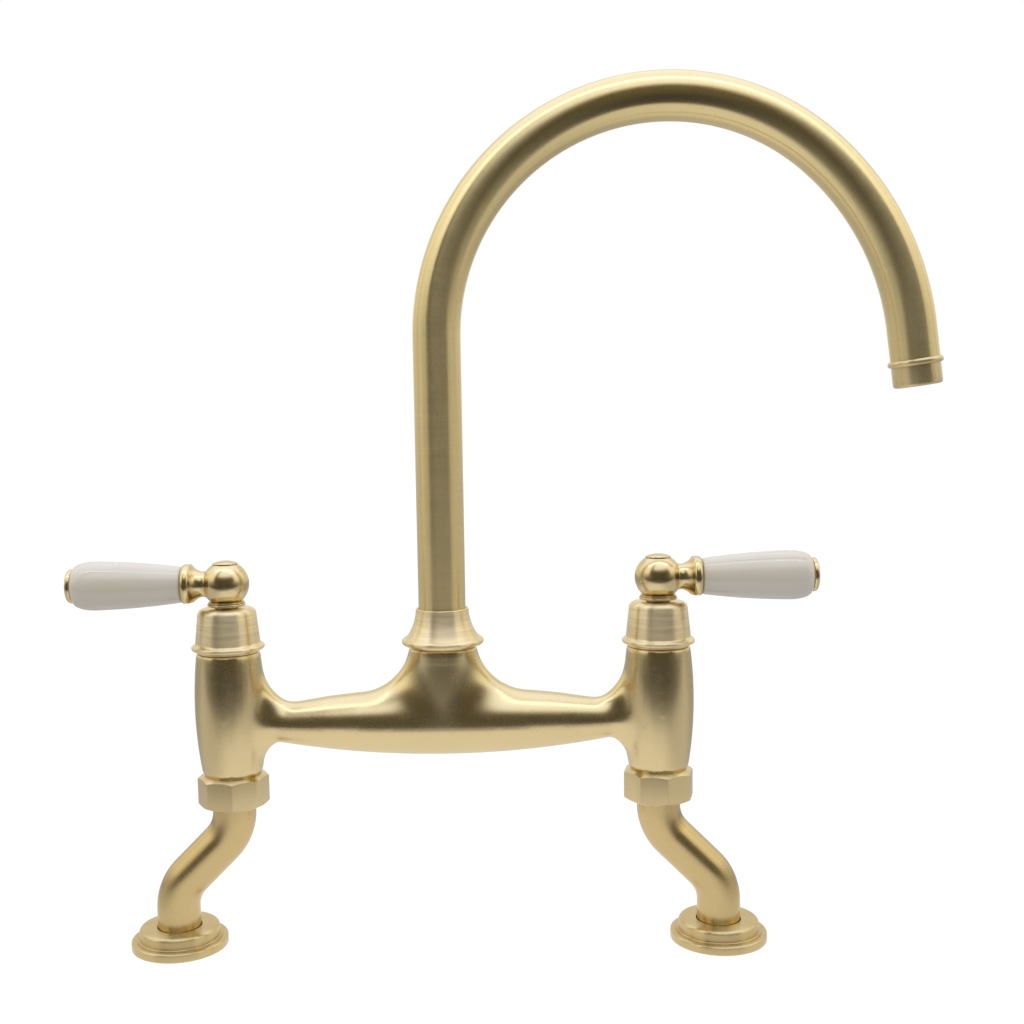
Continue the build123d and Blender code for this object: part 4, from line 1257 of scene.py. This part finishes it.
@dataclass
class Lever:
    """Bell cap and lever of one valve."""

    side: Side
    barrel_top: float = 127.51
    cap_height: float = 18.3
    cap_roof: float = 3.0
    cap_wall: float = 0.8
    cap_skirt: float = 12.9
    cap_skirt_height: float = 1.0
    cap_bead: float = 15.2
    cap_bead_height: float = 2.1
    cap_low: float = 13.4
    cap_flare: float = 14.1
    cap_flare_height: float = 1.5
    cap_flare_bow: float = 0.25
    cap_top: float = 11.9
    cap_shoulder: float = 2.1
    cap_hole: float = 4.9
    cap_hole_edge: float = 0.2
    ring_foot: float = 146.91
    ring_top: float = 148.71
    ring_radius: float = 7.9
    ring_hole: float = 4.05
    ring_edge: float = 0.4
    groove_height: float = 1.1
    groove_depth: float = 0.7
    groove_width: float = 0.1
    upper_bead_inset: float = 0.4
    upper_bead_edges: Span = (0.1, 0.25)
    axis_height: float = 156.01
    ball_radius: float = 9.7
    neck_radius: float = 5.3
    neck_reach: float = 9.9
    neck_edge: float = 1.8
    ferrule_throat: float = 0.5
    ferrule_swell: float = 8.4
    ferrule_turn: float = 14.2
    ferrule_bulge: float = 0.9
    ferrule_end: float = 7.9
    ferrule_reach: float = 17.6
    button_radius: float = 5.2
    button_stem_inset: float = 0.5
    button_foot: float = 162.0
    button_edge: float = 164.7
    button_rim: float = 0.35
    button_rim_edges: Span = (0.08, 0.2)
    button_seat: float = 0.55
    button_dome: float = 1.1
    button_dome_bow: float = 0.28
    handle_start: float = 17.9
    handle_end: float = 63.1
    handle_nose: float = 8.6
    handle_root: float = 7.45
    handle_root_edge: float = 0.7
    handle_belly: float = 10.25
    handle_tip: float = 7.3
    handle_bow: float = 0.53
    finial_radius: float = 7.1
    finial_thickness: float = 2.6

    def upright(self) -> Matrix:
        """Place of a piece turned about the valve axis."""
        return at(self.side.valve, 0.0)

    def outward(self) -> Matrix:
        """Place of a piece turned about the lever's own axis."""
        turn = Matrix.Rotation(self.side.value * math.pi / 2, 4, "Y")
        return at(self.side.valve, self.axis_height) @ turn

    def fit(self, piece: str, mesh: BMesh, where: Matrix | None = None, finish: Finish = LEVER_SATIN,
            work: str = "turned") -> None:
        """Place a piece that turns with the lever."""
        fit(self.side.node(piece), self.side.node("lever"), finish, mesh, where, work)

    def build(self) -> None:
        """Build the cap, the ring, the hub, the button, the handle and its end."""
        self.cap()
        self.ring()
        self.hub()
        self.button()
        self.handle()
        self.finial()

    def cap(self) -> None:
        """Build the bell cap with a bead at its foot and a rounded shoulder."""
        foot = self.barrel_top + self.cap_skirt_height
        bead_top = foot + self.cap_bead_height
        top = self.barrel_top + self.cap_height
        roof = top - self.cap_roof
        inner = self.cap_skirt - self.cap_wall
        section = Outline(self.cap_hole, roof).line(self.cap_hole, top, self.cap_hole_edge)
        section.line(self.cap_top, top, self.cap_shoulder)
        section.line(self.cap_low, bead_top + self.cap_flare_height)
        section.arc(self.cap_flare, bead_top, self.cap_flare_bow, steps=8).bead(self.cap_bead, foot)
        section.line(self.cap_skirt, foot).line(self.cap_skirt, self.barrel_top)
        section.line(inner, self.barrel_top).line(inner, roof).close()
        # The caps' finish carries a paler tone that is painted light.
        finish = LitBellBrass(f"brushed_brass_{self.side.node('cap')}", centre=(self.side.valve * MM, 0.0, 0.0))
        fit(self.side.node("valve_cap"), "bridge", finish, section.turn(), self.upright())

    def ring(self) -> None:
        """Build the double bead between cap and ball."""
        groove = self.ring_foot + self.groove_height
        upper = self.ring_radius - self.upper_bead_inset
        lower_edge, upper_edge = self.upper_bead_edges
        section = Outline(self.ring_hole, self.ring_foot)
        section.line(self.ring_radius, self.ring_foot, self.ring_edge)
        section.line(self.ring_radius, groove - self.groove_width, self.ring_edge)
        section.line(self.ring_radius - self.groove_depth, groove)
        section.line(upper, groove + self.groove_width, lower_edge).line(upper, self.ring_top, upper_edge)
        section.line(self.ring_hole, self.ring_top).close()
        self.fit("lever_collar", section.turn(), self.upright())

    def hub(self) -> None:
        """Build the ball, neck and ferrule, with the ball cut flat below and open under the button."""
        meet = math.sqrt(self.ball_radius ** 2 - self.neck_radius ** 2)
        bulge = self.ball_radius - math.sqrt(self.ball_radius * (self.ball_radius - meet) / 2)
        section = Outline(0.0, -self.ball_radius).arc(self.neck_radius, meet, bulge, steps=48)
        section.soften(self.neck_edge).line(self.neck_radius, self.neck_reach)
        section.arc(self.ferrule_swell, self.ferrule_turn, -self.ferrule_throat, steps=14)
        section.arc(self.ferrule_end, self.ferrule_reach, self.ferrule_bulge, steps=24)
        section.line(0.0, self.ferrule_reach)
        mesh = section.turn()
        bmesh.ops.transform(mesh, matrix=self.outward(), verts=mesh.verts[:])
        cut_off(mesh, (0.0, 0.0, self.ring_top), (0.0, 0.0, -1.0))
        cut_off(mesh, (0.0, 0.0, self.button_edge - self.button_seat), (0.0, 0.0, 1.0))
        close_shell(mesh)
        self.fit("lever_hub", mesh)

    def button(self) -> None:
        """Build the domed button with a thin shadow line under its edge."""
        stem = self.button_radius - self.button_stem_inset
        rim = self.button_edge - self.button_rim
        lower_edge, upper_edge = self.button_rim_edges
        section = Outline(0.0, self.button_foot).line(stem, self.button_foot).line(stem, rim)
        section.line(self.button_radius, rim, lower_edge)
        section.line(self.button_radius, self.button_edge, upper_edge)
        section.arc(0.0, self.button_edge + self.button_dome, self.button_dome_bow)
        self.fit("top_button", section.turn(), self.upright())

    def handle(self) -> None:
        """Build the pear-shaped ceramic handle."""
        nose = self.handle_end - self.handle_nose
        chord = Vector((self.handle_belly - self.handle_root, nose - self.handle_start))
        middle = self.handle_bow * (self.handle_root + self.handle_belly)
        bow = (middle - (self.handle_root + self.handle_belly) / 2) * chord.y / chord.length
        section = Outline(0.0, self.handle_start)
        section.line(self.handle_root, self.handle_start, self.handle_root_edge)
        section.arc(self.handle_belly, nose, bow, steps=32).oval(self.handle_tip, self.handle_end, steps=20)
        section.line(0.0, self.handle_end)
        self.fit("ceramic_handle", section.turn(), self.outward(), GLAZE, "glazed")

    def finial(self) -> None:
        """Build the beaded brass end of the handle."""
        end = self.handle_end + self.finial_thickness
        section = Outline(0.0, self.handle_end)
        section.line(self.finial_radius - self.finial_thickness / 2, self.handle_end)
        section.bead(self.finial_radius, end).line(0.0, end)
        self.fit("end_finial", section.turn(), self.outward())


@dataclass
class InnerPieces:
    """Finishes of the nodes that keep their own mesh."""

    finishes: tuple[Finish, ...] = (PLAIN_BRASS, STEEL, DISC, RUBBER, FIBRE, PLASTIC)

    def dress(self) -> None:
        """Give every node that still shows the finish of its slot."""
        by_slot = {finish.slot.value: finish for finish in self.finishes}
        slots = {part["node"]: part["material_slot"] for part in frame["record"]["subparts"]}
        for name, node in sorted(frame["nodes"].items()):
            if node.hide_render:
                continue
            finish = by_slot[slots[name]]
            node.data.materials.clear()
            node.data.materials.append(finish.material())
            LOG.info("%s: %s", name, finish.name)


@dataclass
class Studio:
    """White studio: a pale floor, soft light from above and the sides, and a dim room behind the camera.

    Places are in metres. The edges of the room are angles round the tap in degrees, counted from the front:
    to the right, for left_edge to the left, and for back_edge, gap_edges and low_edge both ways. The heights
    of the room are the Z of a direction.
    """

    camera_place: Triple = (0.01976, -0.53680, 0.22785)
    camera_lens: float = 45.77
    camera_pitch: float = math.radians(-6.668)
    camera_yaw: float = math.radians(0.541)
    camera_roll: float = math.radians(1.008)
    camera_shift: Span = (0.0347, 0.045)
    camera_clip: Span = (0.01, 50.0)
    sensor: float = 36.0
    floor_size: float = 12.0
    floor_drop: float = 0.0004
    floor_paint: float = 0.5
    floor_white: float = 1.18
    floor_white_share: float = 0.8
    floor_tint: Triple = (1.0, 1.0, 1.08)
    floor_front_edge: Span = (-0.39, -0.27)
    floor_back_edge: Span = (0.0, 0.25)
    floor_side_edge: Span = (0.09, 0.26)
    floor_aside: float = 0.68
    right_edge: Span = (53.0, 60.0)
    left_edge: Span = (48.0, 56.0)
    back_edge: Span = (118.0, 134.0)
    flag_edges: tuple[Span, Span] = ((-53.0, -47.0), (-39.0, -33.0))
    gap_edges: tuple[Span, Span] = ((99.0, 102.0), (104.0, 107.0))
    low_edge: Span = (20.0, 140.0)
    raised_height: Span = (0.05, 0.45)
    top_height: Span = (0.5, 0.78)
    side_light: float = 1.35
    front_light: float = 0.45
    front_shine: float = 0.09
    top_light: float = 1.0
    top_shine: float = 1.45
    back_light: float = 0.9
    gap_light: float = 0.55
    flag_depth: float = 0.9
    plain_tint: Triple = (1.0, 0.99, 0.97)
    front_tint: Triple = (1.0, 0.87, 0.6)
    side_tint: Triple = (1.0, 0.98, 0.93)
    top_tint: Triple = (0.92, 1.0, 1.3)
    strip_place: Triple = (0.0, -0.22, 1.3)
    strip_aim: Triple = (0.0, 0.0, 0.15)
    strip_size: Span = (1.8, 0.1)
    strip_power: float = 1.8

    def build(self) -> None:
        """Set up the camera, the floor, the surroundings and the lamp."""
        bpy.context.scene.view_settings.view_transform = "Standard"
        self.camera()
        self.floor()
        self.surroundings()
        self.strip()

    def camera(self) -> None:
        """Set up the camera in front of the tap, looking slightly down and rolled as the picture is."""
        data = bpy.data.cameras.new("camera")
        data.lens = self.camera_lens
        data.sensor_width = self.sensor
        data.shift_x, data.shift_y = self.camera_shift
        data.clip_start, data.clip_end = self.camera_clip
        made = put("camera", data)
        made.location = self.camera_place
        yaw = Matrix.Rotation(self.camera_yaw, 4, "Z")
        pitch = Matrix.Rotation(math.pi / 2 + self.camera_pitch, 4, "X")
        roll = Matrix.Rotation(-self.camera_roll, 4, "Z")
        made.rotation_euler = (yaw @ pitch @ roll).to_euler()
        bpy.context.scene.camera = made

    def floor(self) -> None:
        """Lay a pale floor that is white to the camera, keeps a faint shadow and ends in the dim room."""
        mesh = bmesh.new()
        bmesh.ops.create_grid(mesh, x_segments=1, y_segments=1, size=self.floor_size / 2,
                              matrix=at(0.0, -self.floor_drop))
        made = put("floor", settle(mesh, "floor"))
        material = bpy.data.materials.new("floor_white")
        material.use_nodes = True
        material.cycles.emission_sampling = "NONE"
        made.data.materials.append(material)
        sheet = NodeSheet(material.node_tree)
        rays = sheet.add("ShaderNodeLightPath").outputs
        paint = sheet.result("ShaderNodeBsdfDiffuse", opaque((self.floor_paint,) * 3))
        white = sheet.result("ShaderNodeEmission", opaque(WHITE), self.floor_white)
        x, y, _ = sheet.parts(sheet.place())
        front = sheet.ramp(y, self.floor_front_edge, self.front_shine, 1.0)
        back = sheet.ramp(y, self.floor_back_edge, 1.0, self.floor_aside)
        aside = sheet.ramp(sheet.math("ABSOLUTE", x), self.floor_side_edge, 1.0, self.floor_aside)
        level = sheet.math("MULTIPLY", sheet.math("MULTIPLY", front, back), aside)
        mirrored = sheet.result("ShaderNodeEmission", opaque(self.floor_tint), level)
        unseen = sheet.mixed(rays["Is Glossy Ray"], paint, mirrored)
        seen = sheet.mixed(self.floor_white_share, paint, white)
        sheet.end("ShaderNodeOutputMaterial", sheet.mixed(rays["Is Camera Ray"], unseen, seen))

    def surroundings(self) -> None:
        """Set up a world that is white to the camera, and to all else a lit studio with a dim front."""
        world = bpy.data.worlds.new("studio")
        bpy.context.scene.world = world
        world.use_nodes = True
        world.cycles.sampling_method = "NONE"
        sheet = NodeSheet(world.node_tree)
        rays = sheet.add("ShaderNodeLightPath").outputs
        x, y, z = sheet.parts(sheet.place("Generated"))
        turn = sheet.math("ARCTAN2", x, sheet.math("MULTIPLY", y, -1.0))
        around = sheet.math("ABSOLUTE", turn)
        right = sheet.turn_ramp(turn, self.right_edge)
        left = sheet.turn_ramp(sheet.math("MULTIPLY", turn, -1.0), self.left_edge)
        back = sheet.turn_ramp(around, self.back_edge)
        sides = sheet.math("SUBTRACT", sheet.math("ADD", right, left), back)
        flag = sheet.math("SUBTRACT", *(sheet.turn_ramp(turn, edge) for edge in self.flag_edges))
        gap = sheet.math("SUBTRACT", *(sheet.turn_ramp(around, edge) for edge in self.gap_edges))
        shade = sheet.math("MULTIPLY_ADD", flag, -self.flag_depth, 1.0)
        up = sheet.math("MULTIPLY", sheet.ramp(z, self.top_height), shade)
        shine = rays["Is Glossy Ray"]
        front = sheet.math("MULTIPLY_ADD", shine, self.front_shine - self.front_light, self.front_light)
        top = sheet.math("MULTIPLY_ADD", shine, self.top_shine - self.top_light, self.top_light)
        high = sheet.math("MULTIPLY_ADD", sides, sheet.math("SUBTRACT", self.side_light, front), front)
        high = sheet.math("MULTIPLY_ADD", back, sheet.math("SUBTRACT", self.back_light, front), high)
        low = sheet.turn_ramp(around, self.low_edge, front, self.back_light)
        raised = sheet.ramp(z, self.raised_height)
        level = sheet.math("MULTIPLY_ADD", raised, sheet.math("SUBTRACT", high, low), low)
        level = sheet.math("MULTIPLY", level, sheet.math("MULTIPLY_ADD", gap, self.gap_light - 1.0, 1.0))
        level = sheet.math("MULTIPLY_ADD", up, sheet.math("SUBTRACT", top, level), level)
        room = sheet.blend(sheet.math("ADD", sides, back), opaque(self.front_tint), opaque(self.side_tint))
        room = sheet.blend(up, room, opaque(self.top_tint))
        color = sheet.blend(shine, opaque(self.plain_tint), room)
        studio = sheet.result("ShaderNodeBackground", color, level)
        white = sheet.result("ShaderNodeBackground", opaque(WHITE))
        sheet.end("ShaderNodeOutputWorld", sheet.mixed(rays["Is Camera Ray"], studio, white))

    def strip(self) -> None:
        """Hang a long lamp above and in front of the tap, for the line of light on the handles."""
        data = bpy.data.lights.new("strip_above", "AREA")
        data.shape = "RECTANGLE"
        data.size, data.size_y = self.strip_size
        data.energy = self.strip_power
        made = put("strip_above", data)
        made.location = self.strip_place
        way = Vector(self.strip_aim) - Vector(self.strip_place)
        made.rotation_euler = way.to_track_quat("-Z", "Y").to_euler()


def main() -> None:
    """Build every piece in order, then the studio round it."""
    logging.basicConfig(level=logging.INFO, format="%(name)s: %(message)s")
    Bridge().build()
    Spout().build()
    for side in Side:
        Leg(side).build()
        Lever(side).build()
    InnerPieces().dress()
    Studio().build()


if __name__ == "__main__":
    main()
